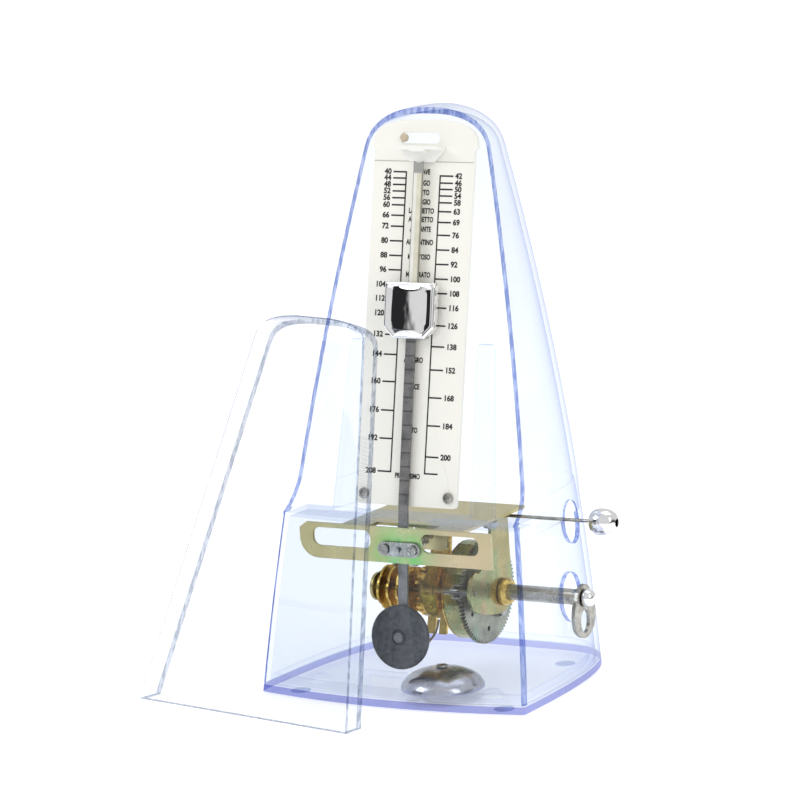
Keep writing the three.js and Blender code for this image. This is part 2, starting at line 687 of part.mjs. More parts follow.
function barrelCover() {
  return turnedX([[2.3, 5.9], [19, 5.9], [19.2, 6.1], [19.2, 6.6], [2.3, 6.6], [2.3, 5.9]], 30)
    .translate(0, WIND_Y, WIND_Z);
}

addMesh('barrel_cover', barrelCover(), BRASS);

function mainspring() {
  const turns = 4;
  const steps = 14;
  const inner = [];
  const outer = [];
  for (let i = 0; i <= turns * steps; i += 1) {
    const a = i / steps * 2 * Math.PI;
    const r = 6.4 + 10.6 * i / (turns * steps);
    inner.push(new THREE.Vector2(r * Math.cos(a), r * Math.sin(a)));
    outer.push(new THREE.Vector2((r + 0.45) * Math.cos(a), (r + 0.45) * Math.sin(a)));
  }
  const shape = new THREE.Shape([...outer, ...inner.reverse()]);
  return sheetFacingRight(shape, 7.2, 5.4, 1).translate(0, WIND_Y, WIND_Z);
}

addMesh('mainspring', mainspring(), SPRING);

function ratchetWheel() {
  const shape = toothed(12, 4.5, 5.5, 0, 0.9);
  shape.holes.push(circlePath(0, 0, 3.35));
  return sheetFacingRight(shape, 16.6, 1.6, 8).translate(0, WIND_Y, WIND_Z);
}

addMesh('ratchet_wheel', ratchetWheel(), BRASS);

const CLICK_Y = WIND_Y + 6.4;
const CLICK_Z = WIND_Z - 9.4;

function click() {
  const shape = new THREE.Shape();
  shape.absarc(0, 0, 2.6, 0.25 * Math.PI, 1.5 * Math.PI, false);
  shape.lineTo(4.5, -2.9);
  shape.lineTo(7.69, -2.1);
  shape.lineTo(8.33, 0);
  shape.lineTo(7.2, -1);
  shape.lineTo(5.4, -0.9);
  shape.holes.push(circlePath(0, 0, 1.3));
  const aim = THREE.MathUtils.degToRad(95.6);
  const geometry = extrude(shape, 1.4, 6).rotateZ(aim);
  geometry.rotateX(Math.PI / 2).rotateZ(Math.PI / 2);
  return geometry.translate(16.6, CLICK_Y, CLICK_Z);
}

addMesh('click', click(), STEEL);

const clickScrewProfile = [[0, 16.45], [1.15, 16.45], [1.15, 18.3], [2.3, 18.3], [2.3, 19.2],
  [1.8, 19.7], [0, 19.8]];
addMesh('click_screw', turnedX(clickScrewProfile, 18).translate(0, CLICK_Y, CLICK_Z), STEEL);

// ---- escape arbor, wheel and bell cams ----------------------------------------------------
const escape = new THREE.Group();
escape.position.set(0, ESCAPE_Y, ESCAPE_Z);
metronome.add(escape);

function escapeArbor() {
  const shaft = turnedX([[0, -21], [0.9, -21], [0.9, -18.8], [1.35, -18.8], [1.35, 20.8], [0.9, 20.8],
    [0.9, 23.2], [0, 23.2]], 16);
  const pinion = sheetFacingRight(toothed(PINION_LEAVES, 1.7, PINION_PITCH_RADIUS + 0.3, meshAngle
    + Math.PI + Math.PI / PINION_LEAVES, 0.5), 13.6, 3.2, 1);
  return join(shaft, pinion);
}

addMesh('escape_arbor', escapeArbor(), STEEL, escape);

function escapeWheel() {
  const face = new THREE.Shape().absarc(0, 0, 9.9, 0, 2 * Math.PI, false);
  face.holes.push(circlePath(0, 0, 1.65));
  for (let i = 0; i < 6; i += 1) {
    const a = i / 6 * 2 * Math.PI;
    face.holes.push(circlePath(6.4 * Math.cos(a), 6.4 * Math.sin(a), 0.8));
  }
  const disc = sheetFacingRight(face, 4.2, 1, 10);
  const teeth = [];
  const count = 24;
  for (let i = 0; i < count; i += 1) {
    const tooth = box(1.9, 4.7, -0.55, 0.55, 8.8, 9.85);
    teeth.push(tooth.rotateX(i / count * 2 * Math.PI));
  }
  return join(disc, ...teeth);
}

addMesh('escape_wheel', escapeWheel(), BRASS, escape);

// A bell cam: a thin disc with rounded lobes, one strike for each lobe.
function bellCam(lobes, x) {
  const points = [];
  const steps = 48;
  for (let i = 0; i < steps; i += 1) {
    const a = i / steps * 2 * Math.PI;
    const r = 7.9 + 0.9 * Math.sqrt(Math.abs(Math.cos(a * lobes / 2)));
    points.push(new THREE.Vector2(r * Math.cos(a), r * Math.sin(a)));
  }
  const shape = new THREE.Shape(points);
  shape.holes.push(circlePath(0, 0, 1.65));
  return sheetFacingRight(shape, x, 1, 8);
}

const CAMS = [[4, -15.6], [6, -11.5], [8, -7.4], [12, -3.6]];
CAMS.forEach(([lobes, x], i) => addMesh(`bell_cam_${i + 1}`, bellCam(lobes, x), BRASS, escape));

// ---- bell selector and hammer -------------------------------------------------------------
addMesh('selector_rod', rodX(0.7, -22.6, 60.2, 14).translate(0, SELECTOR_Y, SELECTOR_Z), STEEL);

function selectorKnob() {
  return turnedX([[0.75, 56.9], [2, 57.1], [4.2, 58.3], [5.2, 60.4], [5.3, 63], [4.9, 65.6],
    [3.6, 67.7], [1.6, 68.7], [0, 68.8], [0, 60.6], [0.75, 60.6], [0.75, 56.9]], 22)
    .translate(0, SELECTOR_Y, SELECTOR_Z);
}

addMesh('selector_knob', selectorKnob(), CHROME);

for (const [place, x] of [['left', -15.6], ['right', -1.9]]) {
  const collar = ringX(0.75, 1.9, x, x + 1.4, 18).translate(0, SELECTOR_Y, SELECTOR_Z);
  addMesh(`selector_collar_${place}`, collar, BRASS);
}

function hammerLever() {
  const sleeve = ringX(0.78, 2, -13.8, -2.3, 18).translate(0, SELECTOR_Y, SELECTOR_Z);
  const web = new THREE.Shape();
  web.moveTo(11.4, 61.4);
  web.lineTo(13, 60.7);
  web.quadraticCurveTo(10.6, 40, 7.8, 26);
  web.lineTo(4.6, 15.2);
  web.lineTo(3.2, 15.2);
  web.lineTo(6.4, 26);
  web.quadraticCurveTo(9.2, 40, 11.4, 61.4);
  const sheet = sheetFacingRight(web, -12.6, 8.8, 6);
  const finger = box(-8.6, -7.4, -9.7, 9.6, 38.4, 40.2);
  const wireSlot = box(-8.9, -7.1, 0, 9, 14, 21.2);
  return cut(join(sleeve, sheet, finger), wireSlot);
}

addMesh('hammer_lever', hammerLever(), BRASS);

const HAMMER_HEAD = new THREE.Vector3(-9, -17.5, 9.5);

function hammerWire() {
  const path = new THREE.CatmullRomCurve3([
    new THREE.Vector3(-8, 5.4, 20.4),
    new THREE.Vector3(-8, 3, 16.5),
    new THREE.Vector3(-8.2, -3, 13.3),
    new THREE.Vector3(-8.8, -11, 11),
    HAMMER_HEAD,
  ]);
  const section = new THREE.Shape().absarc(0, 0, 0.5, 0, 2 * Math.PI, false);
  const wire = new THREE.ExtrudeGeometry(section, {
    steps: 10, extrudePath: path, bevelEnabled: false, curveSegments: 4,
  });
  return join(wire, new THREE.SphereGeometry(2, 12, 8).translate(...HAMMER_HEAD));
}

addMesh('hammer_wire', hammerWire(), STEEL);

// ---- front cover, lifted off and standing beside the case -----------------------------------
const cover = new THREE.Group();
cover.position.set(COVER_X, COVER_Y, 0);
cover.rotation.z = COVER_YAW;
metronome.add(cover);
const coverSlope = leaningGroup(COVER_LEAN, 0, 0, cover);

function coverOutline(inset, bottom) {
  const shape = new THREE.Shape();
  const w = COVER_HALF_WIDTH - inset;
  const t = COVER_TOP_HALF_WIDTH - inset;
  const top = COVER_LENGTH - inset;
  shape.moveTo(-w, bottom);
  shape.lineTo(w, bottom);
  shape.lineTo(t, top - 9);
  shape.bezierCurveTo(t - 1, top - 3, t - 7, top - 0.6, 8, top);
  shape.lineTo(-8, top);
  shape.bezierCurveTo(-t + 7, top - 0.6, -t + 1, top - 3, -t, top - 9);
  return shape;
}

function frontCover() {
  const block = extrude(coverOutline(0, 0), COVER_DEPTH, 8).translate(0, 0, -COVER_DEPTH);
  const room = extrude(coverOutline(COVER_WALL, -4), COVER_DEPTH + 4, 8)
    .translate(0, 0, -COVER_DEPTH - 4 - COVER_WALL);
  const belowFloor = box(-70, 70, -30, 30, -20, 0).rotateX(COVER_LEAN - Math.PI / 2);
  const grip = extrude(slotShape(-9, 7, 139.6, 142.4, 1.3), 8).translate(0, 0, -4);
  const solid = cut(block, room, grip, belowFloor);
  const ribs = [];
  const slope = Math.atan2(COVER_HALF_WIDTH - COVER_TOP_HALF_WIDTH, COVER_LENGTH - 9);
  for (let side = -1; side <= 1; side += 2) {
    for (let i = 0; i < COVER_RIBS; i += 1) {
      const along = 80 + i * 1.55;
      const x = COVER_HALF_WIDTH - Math.tan(slope) * along;
      const rib = box(-0.5, 0.7, -0.35, 0.35, 1.6 - COVER_DEPTH, -1);
      ribs.push(rib.rotateZ(side * slope).translate(side * x, along, 0));
    }
  }
  return join(solid, ...ribs);
}

addMesh('front_cover', frontCover(), CLEAR, coverSlope);

export default metronome;
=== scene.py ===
# Looks for a wind-up pyramid metronome with a clear case. Lengths are in millimetres until
# they reach a mesh, where they become metres. +Z is up and -Y is the front.
import math

import bpy
import bmesh
from mathutils import Matrix, Vector


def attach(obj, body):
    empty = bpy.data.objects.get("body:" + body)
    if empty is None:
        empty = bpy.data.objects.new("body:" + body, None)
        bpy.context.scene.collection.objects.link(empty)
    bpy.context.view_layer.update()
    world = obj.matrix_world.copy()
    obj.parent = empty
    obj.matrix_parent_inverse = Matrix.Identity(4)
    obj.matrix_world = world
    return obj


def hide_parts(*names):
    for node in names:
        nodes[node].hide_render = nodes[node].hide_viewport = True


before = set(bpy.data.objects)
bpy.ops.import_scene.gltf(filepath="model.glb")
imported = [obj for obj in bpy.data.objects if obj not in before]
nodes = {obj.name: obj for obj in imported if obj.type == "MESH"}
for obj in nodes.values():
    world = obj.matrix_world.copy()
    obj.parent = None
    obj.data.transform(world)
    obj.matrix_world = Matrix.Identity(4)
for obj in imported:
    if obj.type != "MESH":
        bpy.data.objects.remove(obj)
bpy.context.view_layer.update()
MM = 0.001

# ---- mesh helpers -------------------------------------------------------------------------


def new_object(name, mesh):
    obj = bpy.data.objects.new(name, mesh)
    bpy.context.scene.collection.objects.link(obj)
    return obj


def mesh_from(name, points, faces):
    mesh = bpy.data.meshes.new(name)
    mesh.from_pydata([(x * MM, y * MM, z * MM) for x, y, z in points], [], faces)
    mesh.validate()
    bm = bmesh.new()
    bm.from_mesh(mesh)
    bmesh.ops.recalc_face_normals(bm, faces=bm.faces)
    bm.to_mesh(mesh)
    bm.free()
    return mesh


def smooth(obj, angle=35):
    mesh = obj.data
    mesh.polygons.foreach_set("use_smooth", [True] * len(mesh.polygons))
    mesh.set_sharp_from_angle(angle=math.radians(angle))
    mesh.update()
    return obj


def loft_mesh(name, rings):
    count = len(rings[0])
    points = [p for ring in rings for p in ring]
    faces = []
    for row in range(len(rings) - 1):
        for i in range(count):
            a = row * count + i
            b = row * count + (i + 1) % count
            faces.append((a, b, b + count, a + count))
    faces.append(tuple(range(count - 1, -1, -1)))
    faces.append(tuple(range((len(rings) - 1) * count, len(rings) * count)))
    return mesh_from(name, points, faces)


def turned_points(profile, axis, centre, sides):
    """Rings of a solid of revolution from [radius, along] points, about an axis through centre."""
    points = []
    rings = []
    for radius, along in profile:
        count = 1 if radius < 1e-6 else sides
        ring = []
        for i in range(count):
            a = 2 * math.pi * i / sides
            c, s = radius * math.cos(a), radius * math.sin(a)
            local = {"X": (along, c, s), "Y": (c, along, s), "Z": (c, s, along)}[axis]
            ring.append(len(points))
            points.append(tuple(local[k] + centre[k] for k in range(3)))
        rings.append(ring)
    return points, rings


def turned_mesh(name, profile, axis="Z", centre=(0, 0, 0), sides=72, closed=None):
    points, rings = turned_points(profile, axis, centre, sides)
    if closed is None:
        closed = profile[0][0] > 1e-6
    pairs = list(zip(rings, rings[1:])) + ([(rings[-1], rings[0])] if closed else [])
    faces = []
    for low, high in pairs:
        for i in range(sides):
            j = (i + 1) % sides
            if len(low) == 1 and len(high) == 1:
                continue
            if len(low) == 1:
                faces.append((low[0], high[i], high[j]))
            elif len(high) == 1:
                faces.append((low[i], low[j], high[0]))
            else:
                faces.append((low[i], low[j], high[j], high[i]))
    return mesh_from(name, points, faces)


def rounded(profile, radius=0.25, steps=3, closed=None):
    """Rounds the corners of a profile or outline that lie off the axis."""
    if closed is None:
        closed = profile[0][0] > 1e-6
    result = []
    count = len(profile)
    for i, corner in enumerate(profile):
        if not closed and i in (0, count - 1):
            result.append(tuple(corner))
            continue
        here = Vector(corner)
        before = Vector(profile[i - 1]) - here
        after = Vector(profile[(i + 1) % count]) - here
        if before.length < 1e-6 or after.length < 1e-6:
            result.append(tuple(corner))
            continue
        reach = min(radius, before.length * 0.45, after.length * 0.45)
        start = here + before.normalized() * reach
        end = here + after.normalized() * reach
        for k in range(steps + 1):
            t = k / steps
            p = start * (1 - t) ** 2 + here * 2 * t * (1 - t) + end * t * t
            result.append(tuple(p))
    return result


def box_mesh(name, x0, x1, y0, y1, z0, z1):
    corners = [(x, y, z) for z in (z0, z1) for x, y in ((x0, y0), (x1, y0), (x1, y1), (x0, y1))]
    faces = [(3, 2, 1, 0), (4, 5, 6, 7), (0, 1, 5, 4), (1, 2, 6, 5), (2, 3, 7, 6), (3, 0, 4, 7)]
    return mesh_from(name, corners, faces)


def rounded_box(x0, x1, y0, y1, radius, steps=6):
    """An outline of points round a rectangle with round corners."""
    points = []
    corners = ((x1 - radius, y0 + radius, -90), (x1 - radius, y1 - radius, 0),
               (x0 + radius, y1 - radius, 90), (x0 + radius, y0 + radius, 180))
    for cx, cy, start in corners:
        for k in range(steps + 1):
            a = math.radians(start + 90 * k / steps)
            points.append((cx + radius * math.cos(a), cy + radius * math.sin(a)))
    return points


def evaluated_mesh(obj):
    graph = bpy.context.evaluated_depsgraph_get()
    graph.update()
    return bpy.data.meshes.new_from_object(obj.evaluated_get(graph))


def combine(base, tools, operation):
    """The base mesh with each tool mesh added or taken away."""
    obj = new_object("work", base)
    helpers = []
    for tool in tools:
        helper = new_object("tool", tool)
        helpers.append(helper)
        modifier = obj.modifiers.new("cut", "BOOLEAN")
        modifier.operation = operation
        modifier.object = helper
        modifier.solver = "MANIFOLD"
    result = evaluated_mesh(obj)
    for item in helpers + [obj]:
        bpy.data.objects.remove(item)
    return result


def cut(base, *tools):
    return combine(base, tools, "DIFFERENCE")


def join(base, *tools):
    return combine(base, tools, "UNION")


def merge_meshes(name, meshes):
    bm = bmesh.new()
    for mesh in meshes:
        bm.from_mesh(mesh)
    result = bpy.data.meshes.new(name)
    bm.to_mesh(result)
    bm.free()
    return result


def moved(mesh, matrix):
    mesh.transform(matrix)
    return mesh


def piece(name, mesh, body, material, replaces=(), angle=35):
    """A visible piece: its material, its smooth shading, its body and the node it stands for."""
    mesh.materials.clear()
    mesh.materials.append(material)
    obj = new_object(name, mesh)
    smooth(obj, angle)
    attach(obj, body)
    if replaces:
        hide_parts(*replaces)
    return obj


# ---- materials ----------------------------------------------------------------------------


class Nodes:
    """Small helper that adds and links the nodes of one material."""

    def __init__(self, name):
        self.material = bpy.data.materials.new(name)
        self.material.use_nodes = True
        self.tree = self.material.node_tree
        self.tree.nodes.clear()
        self.output = self.add("ShaderNodeOutputMaterial")

    def add(self, kind, **settings):
        node = self.tree.nodes.new(kind)
        for key, value in settings.items():
            setattr(node, key, value)
        return node

    def link(self, source, target):
        self.tree.links.new(source, target)

    def coords(self, scale=(1, 1, 1)):
        source = self.add("ShaderNodeTexCoord")
        mapping = self.add("ShaderNodeMapping")
        mapping.inputs["Scale"].default_value = scale
        self.link(source.outputs["Object"], mapping.inputs["Vector"])
        return mapping.outputs["Vector"]

    def noise(self, vector, scale, detail=4, roughness=0.55, distortion=0.0):
        node = self.add("ShaderNodeTexNoise")
        node.inputs["Scale"].default_value = scale
        node.inputs["Detail"].default_value = detail
        node.inputs["Roughness"].default_value = roughness
        node.inputs["Distortion"].default_value = distortion
        self.link(vector, node.inputs["Vector"])
        return node.outputs["Fac"]

    def ramp(self, value, stops, interpolation="LINEAR"):
        node = self.add("ShaderNodeValToRGB")
        node.color_ramp.interpolation = interpolation
        elements = node.color_ramp.elements
        while len(elements) < len(stops):
            elements.new(0.5)
        for element, (at, colour) in zip(elements, stops):
            element.position = at
            element.color = (*colour, 1)
        self.link(value, node.inputs["Fac"])
        return node.outputs["Color"]

    def span(self, value, low, high, from_low=0.3, from_high=0.7):
        node = self.add("ShaderNodeMapRange")
        node.inputs["From Min"].default_value = from_low
        node.inputs["From Max"].default_value = from_high
        node.inputs["To Min"].default_value = low
        node.inputs["To Max"].default_value = high
        self.link(value, node.inputs["Value"])
        return node.outputs["Result"]

    def bump(self, height, strength, distance):
        node = self.add("ShaderNodeBump")
        node.inputs["Strength"].default_value = strength
        node.inputs["Distance"].default_value = distance
        self.link(height, node.inputs["Height"])
        return node.outputs["Normal"]

    def mix(self, factor, first, second, blend="MIX"):
        node = self.add("ShaderNodeMix", data_type="RGBA", blend_type=blend)
        if isinstance(factor, float):
            node.inputs[0].default_value = factor
        else:
            self.link(factor, node.inputs[0])
        for socket, value in ((node.inputs[6], first), (node.inputs[7], second)):
            if isinstance(value, tuple):
                socket.default_value = (*value, 1)
            else:
                self.link(value, socket)
        return node.outputs[2]

    def principled(self, **values):
        node = self.add("ShaderNodeBsdfPrincipled")
        for key, value in values.items():
            socket = node.inputs[key.replace("_", " ")]
            if isinstance(value, bpy.types.NodeSocket):
                self.link(value, socket)
            elif isinstance(value, tuple):
                socket.default_value = (*value, 1)
            else:
                socket.default_value = value
        return node

    def finish(self, shader):
        self.link(shader, self.output.inputs["Surface"])
        return self.material


def clear_plastic(name, face_on, grazing, gloss, waviness, streak=None):
    """Clear moulded plastic with thin walls: nearly colourless face on, bluer the more edge on."""
    n = Nodes(name)
    vector = n.coords()
    ripple = n.noise(vector, 45, 2, 0.4)
    haze = n.noise(vector, 900, 3, 0.6)
    normal = n.bump(ripple, waviness, 0.0012)
    edge_on = n.add("ShaderNodeLayerWeight")
    edge_on.inputs["Blend"].default_value = 0.5
    middle = tuple(0.75 * a + 0.25 * b for a, b in zip(face_on, grazing))
    stops = [(0.0, face_on), (0.55, face_on), (0.8, middle), (1.0, grazing)]
    tint = n.ramp(edge_on.outputs["Facing"], stops)
    if streak:
        lines = n.noise(n.coords((1, 1, 0.06)), 700, 2, 0.5)
        tint = n.mix(n.span(lines, 0.0, 1.0, 0.42, 0.6), tint, streak)
    through = n.add("ShaderNodeBsdfTransparent")
    n.link(tint, through.inputs["Color"])
    shine = n.principled(Base_Color=(0.9, 0.92, 1.0), Metallic=1.0,
                         Roughness=n.span(haze, 0.01, 0.06), Normal=normal)
    turned = n.add("ShaderNodeLayerWeight")
    turned.inputs["Blend"].default_value = 0.5
    n.link(normal, turned.inputs["Normal"])
    steep = n.add("ShaderNodeMath", operation="POWER")
    n.link(turned.outputs["Facing"], steep.inputs[0])
    steep.inputs[1].default_value = 4.0
    surface = n.add("ShaderNodeMixShader")
    n.link(n.span(steep.outputs[0], 0.03, gloss, 0.0, 1.0), surface.inputs[0])
    n.link(through.outputs[0], surface.inputs[1])
    n.link(shine.outputs[0], surface.inputs[2])
    lamp_side = n.add("ShaderNodeBsdfTransparent")
    lamp_side.inputs["Color"].default_value = (*[0.5 + 0.5 * c for c in face_on], 1)
    path = n.add("ShaderNodeLightPath")
    choose = n.add("ShaderNodeMixShader")
    n.link(path.outputs["Is Shadow Ray"], choose.inputs[0])
    n.link(surface.outputs[0], choose.inputs[1])
    n.link(lamp_side.outputs[0], choose.inputs[2])
    return n.finish(choose.outputs[0])


def metal(name, stops, scale, rough, brushed=0.15, stain=0.25, distortion=0.6):
    """Metal whose colour wanders through the given stops, with fine brushing and dull stains."""
    n = Nodes(name)
    vector = n.coords()
    broad = n.noise(vector, scale, 3, 0.55, distortion)
    colour = n.ramp(broad, stops)
    grime = n.noise(vector, scale * 3.3, 5, 0.65)
    dull = n.ramp(grime, [(0.35, (1, 1, 1)), (0.72, (1 - stain, 1 - stain, 1 - stain))])
    colour = n.mix(1.0, colour, dull, "MULTIPLY")
    lines = n.noise(n.coords(), 2600, 3, 0.7)
    roughness = n.span(grime, rough * 0.7, rough * 1.5)
    normal = n.bump(lines, brushed, 0.00004)
    shader = n.principled(Base_Color=colour, Metallic=1.0, Roughness=roughness, Normal=normal)
    return n.finish(shader.outputs[0])


def plastic(name, colour, rough, fleck=0.03, bump=0.08):
    n = Nodes(name)
    vector = n.coords()
    cloud = n.noise(vector, 60, 4)
    darker = tuple(c * (1 - fleck) for c in colour)
    base = n.mix(n.span(cloud, 0.0, 1.0), colour, darker)
    grain = n.noise(vector, 3000, 4, 0.6)
    shader = n.principled(
        Base_Color=base, Roughness=n.span(grain, rough * 0.8, rough * 1.2), Specular_IOR_Level=0.45,
        Normal=n.bump(grain, bump, 0.00003))
    return n.finish(shader.outputs[0])


def near(n, centre, inner, outer):
    """1 close to a point of the object and 0 further away, as a socket; lengths in millimetres."""
    source = n.add("ShaderNodeTexCoord")
    reach = n.add("ShaderNodeVectorMath", operation="DISTANCE")
    n.link(source.outputs["Object"], reach.inputs[0])
    reach.inputs[1].default_value = [c * MM for c in centre]
    return n.span(reach.outputs["Value"], 1.0, 0.0, inner * MM, outer * MM)


def rod_look():
    """Pale scale side above the sliding weight, dark steel with tempo notches below it."""
    n = Nodes("rod_steel")
    vector = n.coords()
    source = n.add("ShaderNodeTexCoord")
    split = n.add("ShaderNodeSeparateXYZ")
    n.link(source.outputs["Object"], split.inputs[0])
    high = n.span(split.outputs["Z"], 0.0, 1.0, 0.143, 0.146)
    cloud = n.noise(vector, 300, 4)
    dark = n.ramp(cloud, [(0.3, (0.17, 0.17, 0.175)), (0.6, (0.27, 0.265, 0.26)),
                          (0.8, (0.14, 0.14, 0.145))])
    pale = n.ramp(cloud, [(0.3, (0.68, 0.66, 0.52)), (0.7, (0.78, 0.76, 0.64))])
    halves = n.span(split.outputs["X"], 0.0, 1.0, -0.0004, -0.0002)
    pale = n.mix(halves, (0.84, 0.83, 0.78), pale)
    width = n.add("ShaderNodeMath", operation="ABSOLUTE")
    n.link(split.outputs["X"], width.inputs[0])
    pale = n.mix(n.span(width.outputs[0], 0.0, 0.75, 0.0016, 0.0018), pale, (0.16, 0.16, 0.14))
    pale = n.mix(n.span(split.outputs["Z"], 0.0, 1.0, 0.1985, 0.199), pale, (0.36, 0.36, 0.34))
    colour = n.mix(high, dark, pale)
    count = n.add("ShaderNodeMath", operation="MULTIPLY")
    n.link(split.outputs["Z"], count.inputs[0])
    count.inputs[1].default_value = 1 / 0.0052
    part = n.add("ShaderNodeMath", operation="FRACT")
    n.link(count.outputs[0], part.inputs[0])
    notch = n.span(part.outputs[0], 1.0, 0.0, 0.1, 0.16)
    above = n.span(split.outputs["Z"], 0.0, 0.55, 0.074, 0.076)
    both = n.add("ShaderNodeMath", operation="MULTIPLY")
    n.link(notch, both.inputs[0])
    n.link(above, both.inputs[1])
    below = n.mix(high, (0.05, 0.05, 0.055), pale)
    colour = n.mix(both.outputs[0], colour, below)
    grain = n.noise(n.coords((6, 1, 0.3)), 2600, 3, 0.7)
    shader = n.principled(Base_Color=colour, Metallic=n.span(high, 0.85, 0.3, 0.0, 1.0),
                          Roughness=n.span(cloud, 0.28, 0.45), Normal=n.bump(grain, 0.2, 0.00004))
    return n.finish(shader.outputs[0])


def bracket_look():
    """Olive chromate plating with a bright green bloom round the pivot and pink to the right."""
    n = Nodes("zinc_bracket")
    vector = n.coords()
    broad = n.noise(vector, 28, 2, 0.5, 0.6)
    colour = n.ramp(broad, [(0.3, (0.52, 0.46, 0.23)), (0.5, (0.60, 0.52, 0.27)),
                            (0.7, (0.54, 0.50, 0.29))])
    cloud = n.noise(vector, 160, 4)
    bloom = n.add("ShaderNodeMath", operation="MULTIPLY")
    n.link(near(n, (1, -35, 55), 5, 17), bloom.inputs[0])
    n.link(n.span(cloud, 0.35, 1.0, 0.35, 0.6), bloom.inputs[1])
    colour = n.mix(bloom.outputs[0], colour, (0.25, 0.66, 0.20))
    colour = n.mix(near(n, (30, -35, 56), 4, 22), colour, (0.70, 0.55, 0.32))
    fine = n.noise(vector, 2400, 3, 0.7)
    shader = n.principled(Base_Color=colour, Metallic=0.9, Roughness=n.span(cloud, 0.26, 0.42),
                          Normal=n.bump(fine, 0.12, 0.00004))
    return n.finish(shader.outputs[0])


CLEAR = clear_plastic("clear_plastic", (0.955, 0.972, 0.99), (0.36, 0.45, 0.74), 0.45, 0.12)
CLEAR_BASE = clear_plastic("clear_base", (0.985, 0.988, 1.0), (0.78, 0.82, 0.95), 0.3, 0.12)
CLEAR_EDGE = clear_plastic("clear_edge", (0.27, 0.34, 0.66), (0.2, 0.27, 0.55), 0.3, 0.12,
                           (0.5, 0.57, 0.84))
CLEAR_SLAB = clear_plastic("clear_slab", (0.42, 0.44, 0.76), (0.36, 0.4, 0.72), 0.3, 0.12)
CLEAR_COVER = clear_plastic("clear_cover", (0.978, 0.984, 0.992), (0.42, 0.47, 0.6), 0.45, 0.1)
CLEAR_COVER_EDGE = clear_plastic("clear_cover_edge", (0.45, 0.49, 0.58), (0.3, 0.33, 0.42), 0.5, 0.1,
                                 (0.7, 0.73, 0.8))
CLEAR_FOOT = clear_plastic("clear_foot", (0.85, 0.88, 0.95), (0.5, 0.55, 0.7), 0.4, 0.2)
IVORY = plastic("ivory_plastic", (0.88, 0.87, 0.81), 0.4)
WHITE = plastic("white_plastic", (0.86, 0.86, 0.83), 0.38)
ZINC = metal(
    "zinc_plate",
    [(0.25, (0.42, 0.39, 0.17)), (0.42, (0.50, 0.41, 0.18)), (0.52, (0.36, 0.42, 0.20)),
     (0.6, (0.52, 0.41, 0.22)), (0.7, (0.46, 0.34, 0.22)), (0.82, (0.42, 0.42, 0.26))],
    30, 0.24, 0.12, 0.3, 0.8)
WHEEL = metal(
    "wheel_zinc",
    [(0.3, (0.30, 0.31, 0.25)), (0.5, (0.40, 0.39, 0.30)), (0.64, (0.33, 0.42, 0.31)),
     (0.8, (0.45, 0.35, 0.30))],
    45, 0.3, 0.2, 0.35)
ZINC_BRACKET = bracket_look()
BRASS = metal(
    "brass",
    [(0.3, (0.62, 0.38, 0.07)), (0.52, (0.85, 0.60, 0.16)), (0.66, (0.45, 0.27, 0.05)),
     (0.8, (0.78, 0.54, 0.14))],
    120, 0.2, 0.12, 0.55)
CHROME = metal("chrome", [(0.3, (0.86, 0.86, 0.87)), (0.7, (0.80, 0.80, 0.82))], 40, 0.035, 0.02, 0.06)
STEEL = metal(
    "steel", [(0.3, (0.38, 0.37, 0.34)), (0.55, (0.52, 0.51, 0.47)), (0.75, (0.30, 0.29, 0.27))],
    110, 0.22, 0.15, 0.4)
ROD_STEEL = rod_look()
DARK = metal(
    "dark_steel",
    [(0.3, (0.085, 0.085, 0.09)), (0.6, (0.13, 0.13, 0.135)), (0.8, (0.07, 0.07, 0.075))],
    160, 0.5, 0.5, 0.3)
BELL = metal(
    "bell_metal", [(0.3, (0.50, 0.50, 0.55)), (0.55, (0.60, 0.59, 0.63)), (0.8, (0.44, 0.44, 0.50))],
    50, 0.22, 0.1, 0.2)
BLACK = plastic("black_washer", (0.02, 0.02, 0.022), 0.4)
BEIGE = plastic("beige_peg", (0.55, 0.47, 0.34), 0.4)
# Flat grey-brown used only for a painted shadow: the thin dark line where the scale plate steps.
STEP_SHADOW_PAINT = plastic("painted_step_shadow", (0.50, 0.48, 0.42), 0.5)
DARK_RIVET = metal(
    "rivet_steel", [(0.3, (0.14, 0.14, 0.15)), (0.6, (0.22, 0.22, 0.23)), (0.8, (0.1, 0.1, 0.11))],
    300, 0.35, 0.2)
CHROME_FACE = metal("chrome_face", [(0.3, (0.90, 0.90, 0.90)), (0.7, (0.84, 0.84, 0.86))],
                    90, 0.02, 0.0, 0.05)
SPRING = metal("spring_steel", [(0.3, (0.2, 0.21, 0.24)), (0.7, (0.33, 0.33, 0.35))], 80, 0.28, 0.15)
INK = plastic("print_ink", (0.012, 0.012, 0.014), 0.45)

